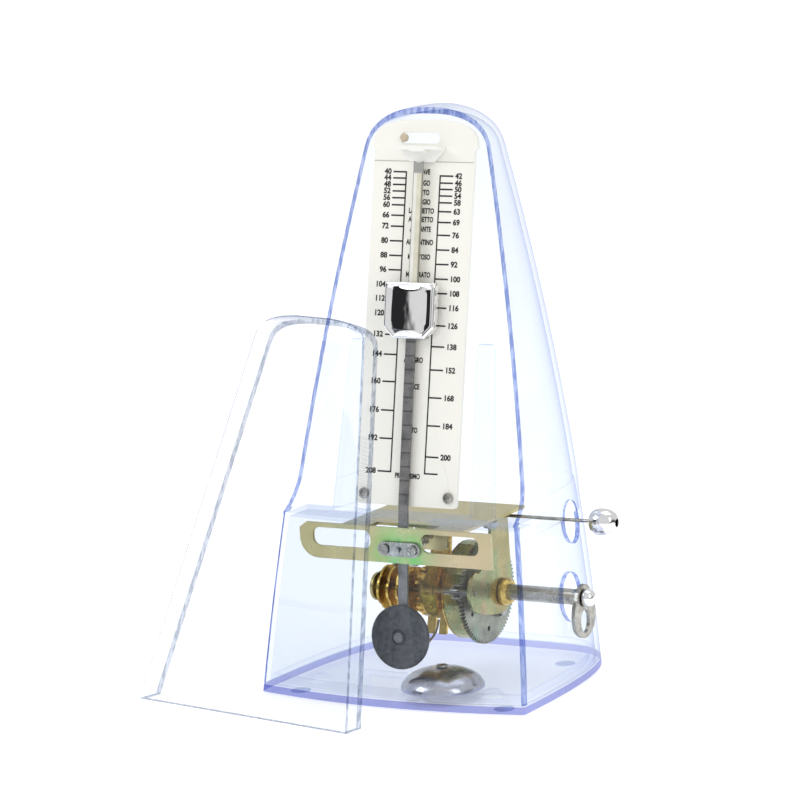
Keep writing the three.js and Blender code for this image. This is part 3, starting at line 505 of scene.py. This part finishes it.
for material, names in (
        (IVORY, ("scale_plate",)),
        (WHITE, ("rod_holder",)),
        (ZINC_BRACKET, ("front_bracket",)),
        (ZINC, ("right_side_plate", "left_side_plate", "spring_barrel")),
        (WHEEL, ("great_wheel",)),
        (BRASS, ("winding_bush", "ratchet_wheel", "barrel_cover", "escape_wheel", "bell_cam_1",
                 "bell_cam_2", "bell_cam_3", "bell_cam_4", "selector_collar_left",
                 "selector_collar_right", "hammer_lever")),
        (BELL, ("bell_gong",)),
        (SPRING, ("mainspring", "weight_spring")),
        (CHROME, ("sliding_weight", "key_cap", "selector_knob")),
        (DARK, ("disc_weight",)),
        (ROD_STEEL, ("pendulum_rod",)),
        (CLEAR_FOOT, ("foot_front_left", "foot_front_right", "foot_rear_left", "foot_rear_right")),
        (CLEAR, ("case_shell", "base_plate")),
        (CLEAR_COVER, ("front_cover",)),
        (STEEL, ("scale_screw_left", "scale_screw_right", "frame_screw_left", "frame_screw_right",
                 "pivot_clamp", "clamp_screw_left", "clamp_screw_right", "bell_screw", "disc_rivet",
                 "pendulum_arbor", "pallet_arm", "winding_shaft", "winding_key", "click",
                 "click_screw", "escape_arbor", "selector_rod", "hammer_wire")),
):
    for name in names:
        nodes[name].data.materials.clear()
        nodes[name].data.materials.append(material)

# ---- case ---------------------------------------------------------------------------------
# The shell is drawn a level at a time. Below BOX_TOP it is a closed box with a bulging front;
# above it the front is open and the sides lean in to an arch at the top.
WALL = 1.9
BOX_TOP = 69.5
CASE_TOP = 222.5
CASE_FOOT = 3.8
ARCH_START = 207
ARCH_POWER = 2.5
ARCH_STEPS = (0, 0.2, 0.4, 0.55, 0.7, 0.8, 0.87, 0.92, 0.96, 0.98, 0.993, 0.999)
TOP_WALL = 2.4
LEDGE_BACK = -20
FRONT_ROOM = 14
FLARE_TOP = 85
WIND_Y, WIND_Z = 3.3, 34.4
SELECTOR_Y, SELECTOR_Z = 13, 62.3
KEY_HOLE_RADIUS = 9.6
KNOB_HOLE_RADIUS = 8.4
KNOB_HOLE_Z = SELECTOR_Z - 0.6
GUARD_OUTSIDE = (-11, 8, -48.7, -47, 3, 13)
GUARD_GAP = (-8.6, 5.6, -50, -45, 3.4, 10.8)
POST_X = 38
POST_Y = -36


def half_width(z):
    return 58 - 0.066 * z - 0.00038 * z * z


def rear_at(z):
    return 47.8 - 0.041 * z - 0.00037 * z * z


def box_front_at(z):
    return -47.6 + 0.1818 * z


def bulge_at(z):
    return 7 - 0.036 * z


def upper_front_at(z):
    s = min(max((z - BOX_TOP) / (FLARE_TOP - BOX_TOP), 0), 1)
    return -24.07 + 0.2102 * (z - FLARE_TOP) - 7.63 * (1 - s) ** 2.5


def arch_shrink(z, top):
    s = max(0, (z - ARCH_START) / (top - ARCH_START))
    return max(0, 1 - s ** ARCH_POWER) ** (1 / ARCH_POWER)


def even_steps(points, count):
    """The same curve with its points at even distances."""
    lengths = [0]
    for a, b in zip(points, points[1:]):
        lengths.append(lengths[-1] + math.dist(a, b))
    result = []
    at = 0
    for i in range(count):
        want = lengths[-1] * i / (count - 1)
        while at < len(points) - 2 and lengths[at + 1] < want:
            at += 1
        share = (want - lengths[at]) / max(lengths[at + 1] - lengths[at], 1e-9)
        result.append(tuple(p + (q - p) * share for p, q in zip(points[at], points[at + 1])))
    return result


def case_ring(z, front, rear, half, bulge=0, apron=0, corner=1.3):
    """One level of the case as (x, y, z) points, with slightly rounded front corners."""
    side = []
    for i in range(241):
        phi = math.pi / 2 * (1 - (1 - i / 240) ** 3)
        x = half * max(math.cos(phi), 0) ** (1 / 3)
        side.append((x, front + (rear - front) * math.sin(phi) ** 0.8))
    side[-1] = (0, rear)
    side = even_steps(side, 64)
    steps = 28
    face = [(share * half, front - apron - bulge * (1 - share ** 2))
            for share in (-1 + 2 * i / steps for i in range(steps + 1))]
    if apron:
        side[0] = (half, front)
        outline = face + side[:-1] + [(-x, y) for x, y in reversed(side)]
    else:
        outline = face[:-1] + side[:-1] + [(-x, y) for x, y in reversed(side)][:-1]
        if corner:
            outline = round_corners(outline, corner, {0, steps})
    return [(x, y, z) for x, y in outline]


def round_corners(outline, radius, corners):
    """The outline with a curve in place of each listed point."""
    result = []
    count = len(outline)
    for i, here in enumerate(outline):
        if i not in corners:
            result.append(here)
            continue
        p = Vector(here)
        before = Vector(outline[i - 1]) - p
        after = Vector(outline[(i + 1) % count]) - p
        start = p + before.normalized() * min(radius, before.length * 0.8)
        end = p + after.normalized() * min(radius, after.length * 0.8)
        for k in range(5):
            t = k / 4
            result.append(tuple(start * (1 - t) ** 2 + p * 2 * t * (1 - t) + end * t * t))
    return result


def spread(start, stop, steps):
    return [start + (stop - start) * i / steps for i in range(steps + 1)]


def box_rings(inset, z0, z1, steps, corner=1.3):
    return [case_ring(z, box_front_at(z) + inset, rear_at(z) - inset, half_width(z) - inset,
                      bulge_at(z), 0, corner)
            for z in spread(z0, z1, steps)]


def upper_rings(inset, apron, zs, top):
    rings = []
    for z in zs:
        lift = 3 * (max(0, z - ARCH_START) / (top - ARCH_START)) ** 3
        rings.append(case_ring(
            z, upper_front_at(max(z, BOX_TOP)) + max(inset, 0), rear_at(z) - inset - lift,
            max(0.4, (half_width(z) - inset) * arch_shrink(z, top)), 0, apron, 0.5))
    return rings


def slot_block(x0, x1, y0, y1, radius, z0, z1):
    outline = rounded_box(x0, x1, y0, y1, radius)
    return loft_mesh("slot", [[(x, y, z) for x, y in outline] for z in (z0, z1)])


def upper_levels(top):
    """Heights from the top of the box up to the arch, closer together where the front flares."""
    arch = [ARCH_START + s * (top - ARCH_START) for s in ARCH_STEPS]
    return [BOX_TOP] + spread(71, FLARE_TOP, 7) + spread(95, 197, 12) + arch


def side_hole(radius, y, z):
    return turned_mesh("hole", [(0, 38), (radius, 38), (radius, 70), (0, 70)], "X", (0, y, z), 72)


def tower(side):
    """The clear post behind the front edge of one side."""
    rings = []
    for z, y, r in ((69, -23.4, 5.2), (100, -16.8, 4.6), (132, -10, 3.9), (134, -9.6, 3.2)):
        x = side * (30.5 - 0.04 * (z - 69))
        rings.append([(x + r * math.cos(a), y + 0.6 * r * math.sin(a), z)
                      for a in [2 * math.pi * i / 40 for i in range(40)]])
    return loft_mesh("tower", rings)


def case_mesh():
    low = loft_mesh("low", box_rings(0, CASE_FOOT, BOX_TOP, 8))
    high = loft_mesh("up", upper_rings(0, 0, [BOX_TOP - 1] + upper_levels(CASE_TOP), CASE_TOP))
    inner_top = CASE_TOP - TOP_WALL
    room_below = loft_mesh("room_low", box_rings(WALL, CASE_FOOT - 2, BOX_TOP - WALL, 8, 0.8))
    room_above = loft_mesh(
        "room_up", upper_rings(WALL, FRONT_ROOM, upper_levels(inner_top), inner_top))
    shaft = loft_mesh("shaft", [
        case_ring(z, LEDGE_BACK, rear_at(z) - WALL, half_width(z) - WALL, 0, 0, 1)
        for z in (BOX_TOP - 6, BOX_TOP, BOX_TOP + 6)])
    rod_slot = slot_block(-13, 13, -38.5, -27.8, 2, 64, 72)
    key_hole = side_hole(KEY_HOLE_RADIUS, WIND_Y, WIND_Z)
    knob_hole = side_hole(KNOB_HOLE_RADIUS, SELECTOR_Y, KNOB_HOLE_Z)
    hollow = cut(join(low, high), room_below, room_above, shaft, rod_slot, key_hole, knob_hole)
    guide = slot_block(-2.1, 1.9, -39.6, -38.4, 0.4, 53.5, BOX_TOP - 1)
    return join(hollow, tower(-1), tower(1), guide)


case = piece("case_shell_clear", case_mesh(), "case", CLEAR, ["case_shell"], 28)


def base_mesh():
    floor = loft_mesh("floor", box_rings(0, 0.6, 3.4, 2))
    rim_out = loft_mesh("rim", box_rings(WALL + 0.4, 3, 7, 1))
    rim_in = loft_mesh("rim_in", box_rings(WALL + 2.2, 2.6, 8, 1))
    rim = cut(rim_out, rim_in)
    post = rounded([(0, 3), (4, 3), (4, 4.8), (3.2, 5.8), (1.8, 6.4), (0, 6.5)], 0.5)
    posts = [turned_mesh("post", post, "Z", (x, POST_Y, 0), 40) for x in (-POST_X, POST_X)]
    guard = cut(box_mesh("guard", *GUARD_OUTSIDE), box_mesh("gap", *GUARD_GAP))
    return join(floor, rim, *posts, guard)


base = piece("base_plate_clear", base_mesh(), "case", CLEAR_BASE, ["base_plate"], 28)


def tint_edges(obj, material, is_edge):
    """Gives the thick edge look to the faces whose centre and normal pass the test."""
    obj.data.materials.append(material)
    for face in obj.data.polygons:
        if is_edge(face.center / MM, face.normal):
            face.material_index = 1


def in_side_hole(at):
    on_key = math.hypot(at.y - WIND_Y, at.z - WIND_Z) < KEY_HOLE_RADIUS + 0.2
    on_knob = math.hypot(at.y - SELECTOR_Y, at.z - KNOB_HOLE_Z) < KNOB_HOLE_RADIUS + 0.2
    return at.x > 40 and (on_key or on_knob)


def case_edge(at, normal):
    if in_side_hole(at):
        return abs(normal.x) < 0.5
    if at.z > BOX_TOP + 1:
        return normal.y < -0.6 and at.y < upper_front_at(at.z) + 1
    at_side = abs(at.x) > half_width(at.z) - 2.2
    return at_side and at.y < box_front_at(at.z) + 2.0


def slab_edge(at, normal):
    return at.z < 3.3 and abs(normal.z) < 0.5


tint_edges(case, CLEAR_EDGE, case_edge)
tint_edges(base, CLEAR_SLAB, slab_edge)

# ---- front cover --------------------------------------------------------------------------
COVER_HALF = 54.1
COVER_TOP_HALF = 28.3
COVER_LENGTH = 155
COVER_DEPTH = 8.4
COVER_WALL = 1.8
COVER_EDGE = 0.6
COVER_SHOULDER = COVER_LENGTH - 9
RIB_COUNT = 21
RIB_START = 80
RIB_STEP = 1.55
COVER_LEAN = math.radians(20)
COVER_YAW = math.radians(-11.2)
COVER_PLACE = (Matrix.Translation(Vector((-47.1, -81, 0)) * MM) @ Matrix.Rotation(COVER_YAW, 4, "Z")
               @ Matrix.Rotation(math.pi / 2 - COVER_LEAN, 4, "X"))


def bezier(*points, steps=14):
    """Points along a cubic curve, without its first one."""
    result = []
    for i in range(1, steps + 1):
        t = i / steps
        weights = ((1 - t) ** 3, 3 * t * (1 - t) ** 2, 3 * t * t * (1 - t), t ** 3)
        result.append(tuple(sum(w * p[k] for w, p in zip(weights, points)) for k in (0, 1)))
    return result


def cover_outline(inset, bottom):
    w, t, top = COVER_HALF - inset, COVER_TOP_HALF - inset, COVER_LENGTH - inset
    points = [(-w, bottom), (w, bottom), (t, top - 9)]
    points += bezier((t, top - 9), (t - 1, top - 3), (t - 7, top - 0.6), (8, top))
    points.append((-8, top))
    points += bezier((-8, top), (-t + 7, top - 0.6), (-t + 1, top - 3), (-t, top - 9))
    return points


def prism(outline, z0, z1):
    return loft_mesh("prism", [[(x, y, z) for x, y in outline] for z in (z0, z1)])


def cover_mesh():
    levels = ((0, -COVER_DEPTH), (0, -COVER_EDGE), (0.18, -0.18), (COVER_EDGE, 0))
    block = loft_mesh("block", [[(x, y, z) for x, y in cover_outline(i, 0)] for i, z in levels])
    room = prism(cover_outline(COVER_WALL, -4), -COVER_DEPTH - 4, -COVER_WALL)
    grip = prism(rounded_box(-9, 7, 139.6, 142.4, 1.3), -4, 4)
    below = box_mesh("below", -70, 70, -30, 30, -20, 0)
    below.transform(Matrix.Rotation(COVER_LEAN - math.pi / 2, 4, "X"))
    tray = cut(block, room, grip, below)
    slope = math.atan2(COVER_HALF - COVER_TOP_HALF, COVER_SHOULDER)
    ribs = []
    for side in (-1, 1):
        for i in range(RIB_COUNT):
            along = RIB_START + i * RIB_STEP
            x = COVER_HALF - math.tan(slope) * along
            rib = slot_block(-0.5, 0.7, -0.35, 0.35, 0.25, 1.6 - COVER_DEPTH, -1)
            rib.transform(Matrix.Rotation(side * slope, 4, "Z"))
            rib.transform(Matrix.Translation(Vector((side * x, along, 0)) * MM))
            ribs.append(rib)
    mesh = join(tray, *ribs)
    mesh.transform(COVER_PLACE)
    return mesh


cover = piece("front_cover_clear", cover_mesh(), "cover", CLEAR_COVER,
              ["front_cover"], 28)
INTO_COVER = COVER_PLACE.inverted()


def cover_edge(at, normal):
    local = INTO_COVER @ (at * MM) / MM
    facing = INTO_COVER.to_3x3() @ normal
    rim = local.z < 0.05 - COVER_DEPTH
    corner = local.z > -0.7 and 0.15 < facing.z < 0.95
    return rim or corner or normal.z < -0.9


tint_edges(cover, CLEAR_COVER_EDGE, cover_edge)

# ---- scale print --------------------------------------------------------------------------
# Drawn flat in millimetres, x to the right and y up the plate, then scaled and set on the plate.
SCALE_LEAN = math.radians(12.03)
SCALE_PLACE = (Matrix.Translation(Vector((0, -44.52, 0)) * MM)
               @ Matrix.Rotation(math.pi / 2 - SCALE_LEAN, 4, "X"))
PRINT_TOP = 0.05
LINE_X = 7.48
LINE_BOTTOM = 87.7
HALF_LINE = 0.28
HALF_TICK = 0.3
TICK_LENGTH = 5.7
LETTER_HEIGHT = 1.38


def text_mesh(text, height, x, y, align, squeeze=1.0, bold=0.0):
    curve = bpy.data.curves.new("text", "FONT")
    curve.body = text
    curve.size = height * LETTER_HEIGHT
    curve.align_x = align
    curve.align_y = "CENTER"
    curve.offset = bold
    curve.extrude = 0.02
    curve.resolution_u = 4
    obj = new_object("text", curve)
    mesh = evaluated_mesh(obj)
    bpy.data.objects.remove(obj)
    mesh.transform(Matrix.Diagonal((squeeze, 1, 1, 1)))
    mesh.transform(Matrix.Translation((x, y, PRINT_TOP)))
    return mesh


def flat_bar(x0, x1, y0, y1):
    """A printed line; box_mesh works in metres, so this goes back to millimetres."""
    mesh = box_mesh("bar", x0, x1, y0, y1, 0.01, PRINT_TOP + 0.02)
    mesh.transform(Matrix.Scale(1 / MM, 4))
    return mesh


# Each mark is a tempo and how far up the plate it stands; a tempo of 0 is a tick with no number.
RIGHT_MARKS = (
    (42, 201.6), (46, 198.9), (50, 196.5), (54, 194.0), (58, 191.4), (63, 188.0), (69, 183.9),
    (76, 179.0), (84, 173.4), (92, 167.9), (100, 162.3), (108, 156.8), (116, 151.3), (126, 144.5),
    (138, 136.5), (152, 127.6), (168, 117.0), (184, 106.3), (200, 94.4), (0, 88.0))
LEFT_MARKS = (
    (40, 202.8), (44, 200.4), (48, 197.9), (52, 195.4), (56, 192.8), (60, 190.1), (66, 186.1),
    (72, 181.9), (80, 176.3), (88, 170.7), (96, 165.2), (104, 159.5), (112, 154.1), (120, 148.5),
    (132, 140.4), (144, 132.8), (160, 122.4), (176, 111.4), (192, 100.6), (208, 88.0))
WORDS = (
    ("GRAVE", 202.9), ("LARGO", 198.6), ("LENTO", 195.0), ("ADAGIO", 191.4), ("LARGHETTO", 188.0),
    ("ADAGIETTO", 184.7), ("ANDANTE", 181.0), ("ANDANTINO", 176.0), ("MAESTOSO", 170.4),
    ("MODERATO", 163.6), ("ALLEGRETTO", 152.0), ("ANIMATO", 141.5), ("ALLEGRO", 131.0),
    ("VIVACE", 120.8), ("PRESTO", 104.2), ("PRESTISSIMO", 86.6))


def print_mesh():
    sides = ((-1, LEFT_MARKS, "RIGHT"), (1, RIGHT_MARKS, "LEFT"))
    parts = [flat_bar(side * LINE_X - HALF_LINE, side * LINE_X + HALF_LINE, LINE_BOTTOM,
                      marks[0][1] + 0.25)
             for side, marks, align in sides]
    for side, marks, align in sides:
        for number, y in marks:
            inner, outer = sorted((side * LINE_X, side * (LINE_X + TICK_LENGTH)))
            parts.append(flat_bar(inner, outer, y - HALF_TICK, y + HALF_TICK))
            if number:
                x = side * (LINE_X + TICK_LENGTH + 0.9)
                parts.append(text_mesh(str(number), 2.15, x, y, align, 1.0, 0.11))
    for word, y in WORDS:
        parts.append(text_mesh(word, 2.0, 0, y, "CENTER", 0.7, 0.1))
    mesh = merge_meshes("print", parts)
    mesh.transform(Matrix.Scale(MM, 4))
    return moved(mesh, SCALE_PLACE)


piece("scale_print", print_mesh(), "case", INK, (), 30)


# A dark strip painted across the scale plate where its step would cast a thin shadow line; it is
# painted shade, not print.
step_shadow_strip = box_mesh("step", -21.9, 21.9, 206.75, 207.1, 0.0, 0.08)
piece("scale_step_shadow", moved(step_shadow_strip, SCALE_PLACE), "case", STEP_SHADOW_PAINT, (), 30)
peg_profile = rounded([(0, -1.2), (1.5, -1.2), (1.5, 0.7), (0, 0.9)], 0.3)
peg = turned_mesh("peg", peg_profile, "Z", (-9.3, 215.9, 0), 40)
piece("scale_peg", moved(peg, SCALE_PLACE), "case", BEIGE, (), 30)

# ---- turned and shaped metal parts ----------------------------------------------------------
# The rod is bent where it passes the ledge: the pendulum hangs below ROD_BEND and leans above.
ROD_BEND = Vector((0, -30.6, 74)) * MM
UPPER_ROD = (Matrix.Translation(ROD_BEND)
             @ Matrix.Rotation(math.pi / 2 - math.atan(0.197), 4, "X"))
LOWER_ROD = (Matrix.Translation(ROD_BEND)
             @ Matrix.Rotation(math.pi / 2 - math.atan(0.107), 4, "X"))
DISC_CENTRE = (0, -50.3, 0)
DISC_FRONT = 3.4
WEIGHT_UP = 74.6
BELL_PLACE = (13.5, -31, 0)
BELL_FOOT = 4
CLAMP_FRONT = -36.2
CLAMP_Z = 58
WIND_AXIS = (0, WIND_Y, WIND_Z)
SELECTOR_AXIS = (0, SELECTOR_Y, SELECTOR_Z)


def bell_mesh():
    turns = [math.pi / 2 * i / 20 for i in range(21)]
    outside = [(16.2 * math.cos(a), BELL_FOOT + 8 * math.sin(a)) for a in turns]
    inside = [(15.1 * math.cos(a), BELL_FOOT + 6.9 * math.sin(a)) for a in turns]
    outside[-1] = (1.6, outside[-1][1])
    inside[-1] = (1.6, inside[-1][1])
    return turned_mesh("bell", outside + inside[::-1], "Z", BELL_PLACE, 96)


piece("bell_gong_smooth", bell_mesh(), "case", BELL, ["bell_gong"], 50)
bell_screw = [(0, 3.7), (2.6, 3.7), (2.6, 10.6), (1.3, 10.6), (1.3, 12.3), (2.5, 12.3), (2.2, 12.8),
              (0, 13)]
bell_screw_mesh = cut(turned_mesh("screw", rounded(bell_screw, 0.2), "Z", BELL_PLACE, 48),
                      box_mesh("slot", 10, 17, -31.3, -30.7, 12.6, 14))
piece("bell_screw_slotted", bell_screw_mesh, "case", STEEL, ["bell_screw"], 40)

# The knob is hollow behind, so the selector rod ends inside it.
knob = [(0.75, 56.9), (2, 57.1), (4.2, 58.3), (5.2, 60.4), (5.3, 63), (4.9, 65.6), (3.6, 67.7),
        (1.6, 68.7)]
knob_mesh = turned_mesh("knob", rounded(knob, 0.9, 5, False) + [(0, 60.6), (0.75, 60.6)], "X",
                        SELECTOR_AXIS, 72, True)
piece("selector_knob_smooth", knob_mesh, "selector", CHROME, ["selector_knob"], 60)
cap = [(0, 58.7), (3.6, 58.7), (3.6, 60), (3, 61.6), (1.8, 62.7), (0, 63.1)]
piece("key_cap_smooth", turned_mesh("cap", rounded(cap, 0.5, 4), "X", WIND_AXIS, 64), "key",
      CHROME, ["key_cap"], 60)

disc = [(1.15, 0.8), (12, 0.8), (12.4, 1.2), (12.4, 2.9), (11.9, DISC_FRONT), (3.1, DISC_FRONT),
        (2.9, 2.9), (1.15, 2.9)]
disc_mesh = turned_mesh("disc", rounded(disc, 0.22), "Z", DISC_CENTRE, 96)
piece("disc_weight_smooth", moved(disc_mesh, LOWER_ROD), "pendulum", DARK,
      ["disc_weight"], 40)
washer = [(2.2, 2.95), (2.85, 2.95), (2.85, 3.38), (2.2, 3.38)]
washer_mesh = turned_mesh("washer", washer, "Z", DISC_CENTRE, 48)
piece("disc_washer", moved(washer_mesh, LOWER_ROD), "pendulum", BLACK, (), 40)
rivet = [(0, -1.3), (1.7, -1.3), (1.7, -0.8), (0.8, -0.8), (0.8, 3.2), (2.1, 3.2), (2.1, 4),
         (1.6, 4.4), (0, 4.5)]
rivet_mesh = turned_mesh("rivet", rounded(rivet, 0.3, 4), "Z", DISC_CENTRE, 48)
piece("disc_rivet_smooth", moved(rivet_mesh, LOWER_ROD), "pendulum", DARK_RIVET,
      ["disc_rivet"], 40)

for side, x in (("left", -6.1), ("right", 6.1)):
    screw = rounded([(0, CLAMP_FRONT - 1.3), (1.5, CLAMP_FRONT - 1.3), (2, CLAMP_FRONT - 0.9),
                     (2, CLAMP_FRONT - 0.3), (0.85, CLAMP_FRONT - 0.3), (0.85, CLAMP_FRONT + 4),
                     (0, CLAMP_FRONT + 4)], 0.15)
    slots = [box_mesh("slot", x - across, x + across, CLAMP_FRONT - 2, CLAMP_FRONT - 0.9,
                      CLAMP_Z - up, CLAMP_Z + up)
             for across, up in ((1.3, 0.25), (0.25, 1.3))]
    screw_mesh = cut(turned_mesh("screw", screw, "Y", (x, 0, CLAMP_Z), 40), *slots)
    piece(f"clamp_screw_{side}_crossed", screw_mesh, "case", STEEL,
          [f"clamp_screw_{side}"], 40)
bush = [(3.15, 21), (4, 21), (4, 23.1), (5.4, 23.1), (5.4, 24.4), (4.6, 26.2), (3.15, 26.2)]
piece("winding_bush_smooth", turned_mesh("bush", rounded(bush, 0.25), "X", WIND_AXIS, 64), "case",
      BRASS, ["winding_bush"], 40)


def weight_outline(inset):
    """The front of the sliding weight, x and y: a square with its two lower corners cut off."""
    w = 11 - inset
    high = 10.8 - inset
    cut_off = 4.2 - inset * 0.4
    points = [(-w + 0.8, high), (-w, high - 0.8), (-w, -high + cut_off), (-w + cut_off, -high),
              (w - cut_off, -high), (w, -high + cut_off), (w, high - 0.8), (w - 0.8, high)]
    return even_steps(points + [points[0]], 97)[:-1]


def weight_mesh():
    """A chrome block with a raised rim, a slightly crowned face and a channel for the rod."""
    rim = ((0.35, -0.8), (0.05, -0.5), (0.0, -0.2), (0.0, 2.2), (0.12, 2.62), (0.45, 2.9),
           (0.9, 3.0), (1.25, 2.9), (1.5, 2.66), (1.8, 2.6))
    levels = [[(x, y, z) for x, y in weight_outline(inset)] for inset, z in rim]
    for share in (0.985, 0.8, 0.6, 0.4, 0.2, 0.05):
        flat = [(x * share, y * share) for x, y in weight_outline(1.8)]
        levels.append([(x, y, 2.75 - 0.2 * (x / 9.2) ** 2 - 0.06 * (y / 9) ** 2) for x, y in flat])
    channel = box_mesh("channel", -2.35, 2.35, -12, 12, -3, 0.85)
    pocket = box_mesh("pocket", -8.2, 8.2, -3, 3, -3, 2.4)
    mesh = cut(loft_mesh("weight", levels), channel, pocket)
    return moved(mesh, UPPER_ROD @ Matrix.Translation(Vector((0, WEIGHT_UP, 0)) * MM))


piece("sliding_weight_chrome", weight_mesh(), "tempo_weight", CHROME_FACE,
      ["sliding_weight"], 40)

# Plates that keep their CAD mesh get a soft edge, width in millimetres.
for name, width in (("front_bracket", 0.2), ("right_side_plate", 0.2), ("left_side_plate", 0.2),
                    ("pivot_clamp", 0.15), ("winding_key", 0.3), ("rod_holder", 0.3),
                    ("scale_plate", 0.25), ("great_wheel", 0.1), ("hammer_lever", 0.15)):
    weld = nodes[name].modifiers.new("weld", "WELD")
    weld.merge_threshold = 0.000001
    soften = nodes[name].modifiers.new("soften", "BEVEL")
    soften.width = width * MM
    soften.segments = 2
    soften.limit_method = "ANGLE"
    soften.angle_limit = math.radians(50)
    soften.harden_normals = True

# ---- stage, light and camera --------------------------------------------------------------
FLOOR_HALF = 9000
WORLD_STRENGTH = 0.78
IMAGE_SIDE = 800
SENSOR = 36
floor_corners = [(x * FLOOR_HALF, y * FLOOR_HALF, 0) for x, y in ((-1, -1), (1, -1), (1, 1), (-1, 1))]
floor_mesh = mesh_from("floor", floor_corners, [(0, 1, 2, 3)])
floor = new_object("floor", floor_mesh)
floor.location.z = -0.0001
floor_look = Nodes("pale_floor")
floor_shader = floor_look.principled(Base_Color=(0.93, 0.93, 0.935), Roughness=0.6,
                                     Emission_Color=(1.0, 1.0, 1.0), Emission_Strength=0.3)
floor.data.materials.append(floor_look.finish(floor_shader.outputs[0]))

world = bpy.data.worlds.new("studio")
bpy.context.scene.world = world
world.use_nodes = True
tree = world.node_tree
tree.nodes.clear()


def world_math(operation, first, second=None):
    node = tree.nodes.new("ShaderNodeMath")
    node.operation = operation
    for socket, value in zip(node.inputs, (first, second)):
        if isinstance(value, bpy.types.NodeSocket):
            tree.links.new(value, socket)
        elif value is not None:
            socket.default_value = value
    return node.outputs[0]


def world_span(value, low, high):
    """A soft step from 0 at low to 1 at high; low may be the larger one."""
    node = tree.nodes.new("ShaderNodeMapRange")
    node.interpolation_type = "SMOOTHSTEP"
    node.inputs["From Min"].default_value = low
    node.inputs["From Max"].default_value = high
    tree.links.new(value, node.inputs["Value"])
    return node.outputs["Result"]


# A white room with two dark patches, which the polished metal mirrors: one to the front left for
# the sliding weight, and one to the right for the sides. The angle around is 0 at the front.
direction = tree.nodes.new("ShaderNodeTexCoord")
split = tree.nodes.new("ShaderNodeSeparateXYZ")
tree.links.new(direction.outputs["Generated"], split.inputs[0])
wave = tree.nodes.new("ShaderNodeTexNoise")
wave.inputs["Scale"].default_value = 14.0
wave.inputs["Detail"].default_value = 4.0
tree.links.new(direction.outputs["Generated"], wave.inputs["Vector"])
around = world_math("ARCTAN2", world_math("MULTIPLY", split.outputs["X"], -1.0),
                    world_math("MULTIPLY", split.outputs["Y"], -1.0))
wander = world_math("MULTIPLY", world_math("SUBTRACT", wave.outputs["Fac"], 0.5), 0.22)
around = world_math("ADD", around, wander)
after = world_span(around, math.radians(29), math.radians(31))
before = world_span(around, math.radians(72), math.radians(64))
above = world_span(split.outputs["Z"], -0.2, -0.12)
below = world_span(split.outputs["Z"], 0.62, 0.5)
dark = world_math("MULTIPLY", world_math("MULTIPLY", after, before),
                  world_math("MULTIPLY", above, below))
right_after = world_span(around, math.radians(-55), math.radians(-62))
right_before = world_span(around, math.radians(-125), math.radians(-110))
right_low = world_span(split.outputs["Z"], 0.35, 0.2)
right_dark = world_math("MULTIPLY", world_math("MULTIPLY", right_after, right_before), right_low)
dark = world_math("MAXIMUM", dark, world_math("MULTIPLY", right_dark, 0.85))
blend = tree.nodes.new("ShaderNodeMix")
blend.data_type = "RGBA"
blend.inputs[6].default_value = (1, 1, 1, 1)
blend.inputs[7].default_value = (0.03, 0.03, 0.032, 1)
tree.links.new(dark, blend.inputs[0])
background = tree.nodes.new("ShaderNodeBackground")
background.inputs["Strength"].default_value = WORLD_STRENGTH
tree.links.new(blend.outputs[2], background.inputs["Color"])
world_out = tree.nodes.new("ShaderNodeOutputWorld")
tree.links.new(background.outputs[0], world_out.inputs[0])


def area_light(name, place, size, power):
    """A soft lamp that points at the middle of the metronome; metres and watts."""
    data = bpy.data.lights.new(name, "AREA")
    data.shape = "RECTANGLE"
    data.size, data.size_y = size
    data.energy = power
    obj = new_object(name, data)
    obj.location = place
    obj.rotation_euler = (AIM - Vector(place)).to_track_quat("-Z", "Y").to_euler()


AIM = Vector((0, 0, 0.1))
area_light("key", (-0.9, -0.9, 1.1), (0.7, 0.7), 6)
area_light("side", (1.2, -0.5, 0.8), (0.4, 0.9), 3)
area_light("top", (0.1, 0.3, 1.5), (1.0, 1.0), 4)

# The camera looks at AIM from AZIMUTH to the right of the front, in metres; FOCAL is in pixels.
AZIMUTH, ELEVATION, ROLL = (math.radians(a) for a in (30.114, 10.886, -2.965))
DISTANCE, FOCAL = 1.7817, 4613.3
back = Vector((math.sin(AZIMUTH) * math.cos(ELEVATION), -math.cos(AZIMUTH) * math.cos(ELEVATION),
               math.sin(ELEVATION)))
right = Vector((math.cos(AZIMUTH), math.sin(AZIMUTH), 0))
up = back.cross(right)
side_axis = right * math.cos(ROLL) + up * math.sin(ROLL)
up_axis = up * math.cos(ROLL) - right * math.sin(ROLL)
camera_data = bpy.data.cameras.new("camera")
camera_data.sensor_width = SENSOR
camera_data.lens = SENSOR * FOCAL / IMAGE_SIDE
camera_data.shift_x = -39.45 / IMAGE_SIDE
camera_data.shift_y = 23.86 / IMAGE_SIDE
camera_data.clip_start = 0.05
camera_data.clip_end = 50
camera = new_object("camera", camera_data)
place = AIM + back * DISTANCE
camera.matrix_world = Matrix((
    (side_axis.x, up_axis.x, back.x, place.x),
    (side_axis.y, up_axis.y, back.y, place.y),
    (side_axis.z, up_axis.z, back.z, place.z),
    (0, 0, 0, 1)))
scene = bpy.context.scene
scene.camera = camera
scene.view_settings.view_transform = "Standard"
scene.cycles.max_bounces = 40
scene.cycles.transmission_bounces = 40
scene.cycles.transparent_max_bounces = 40
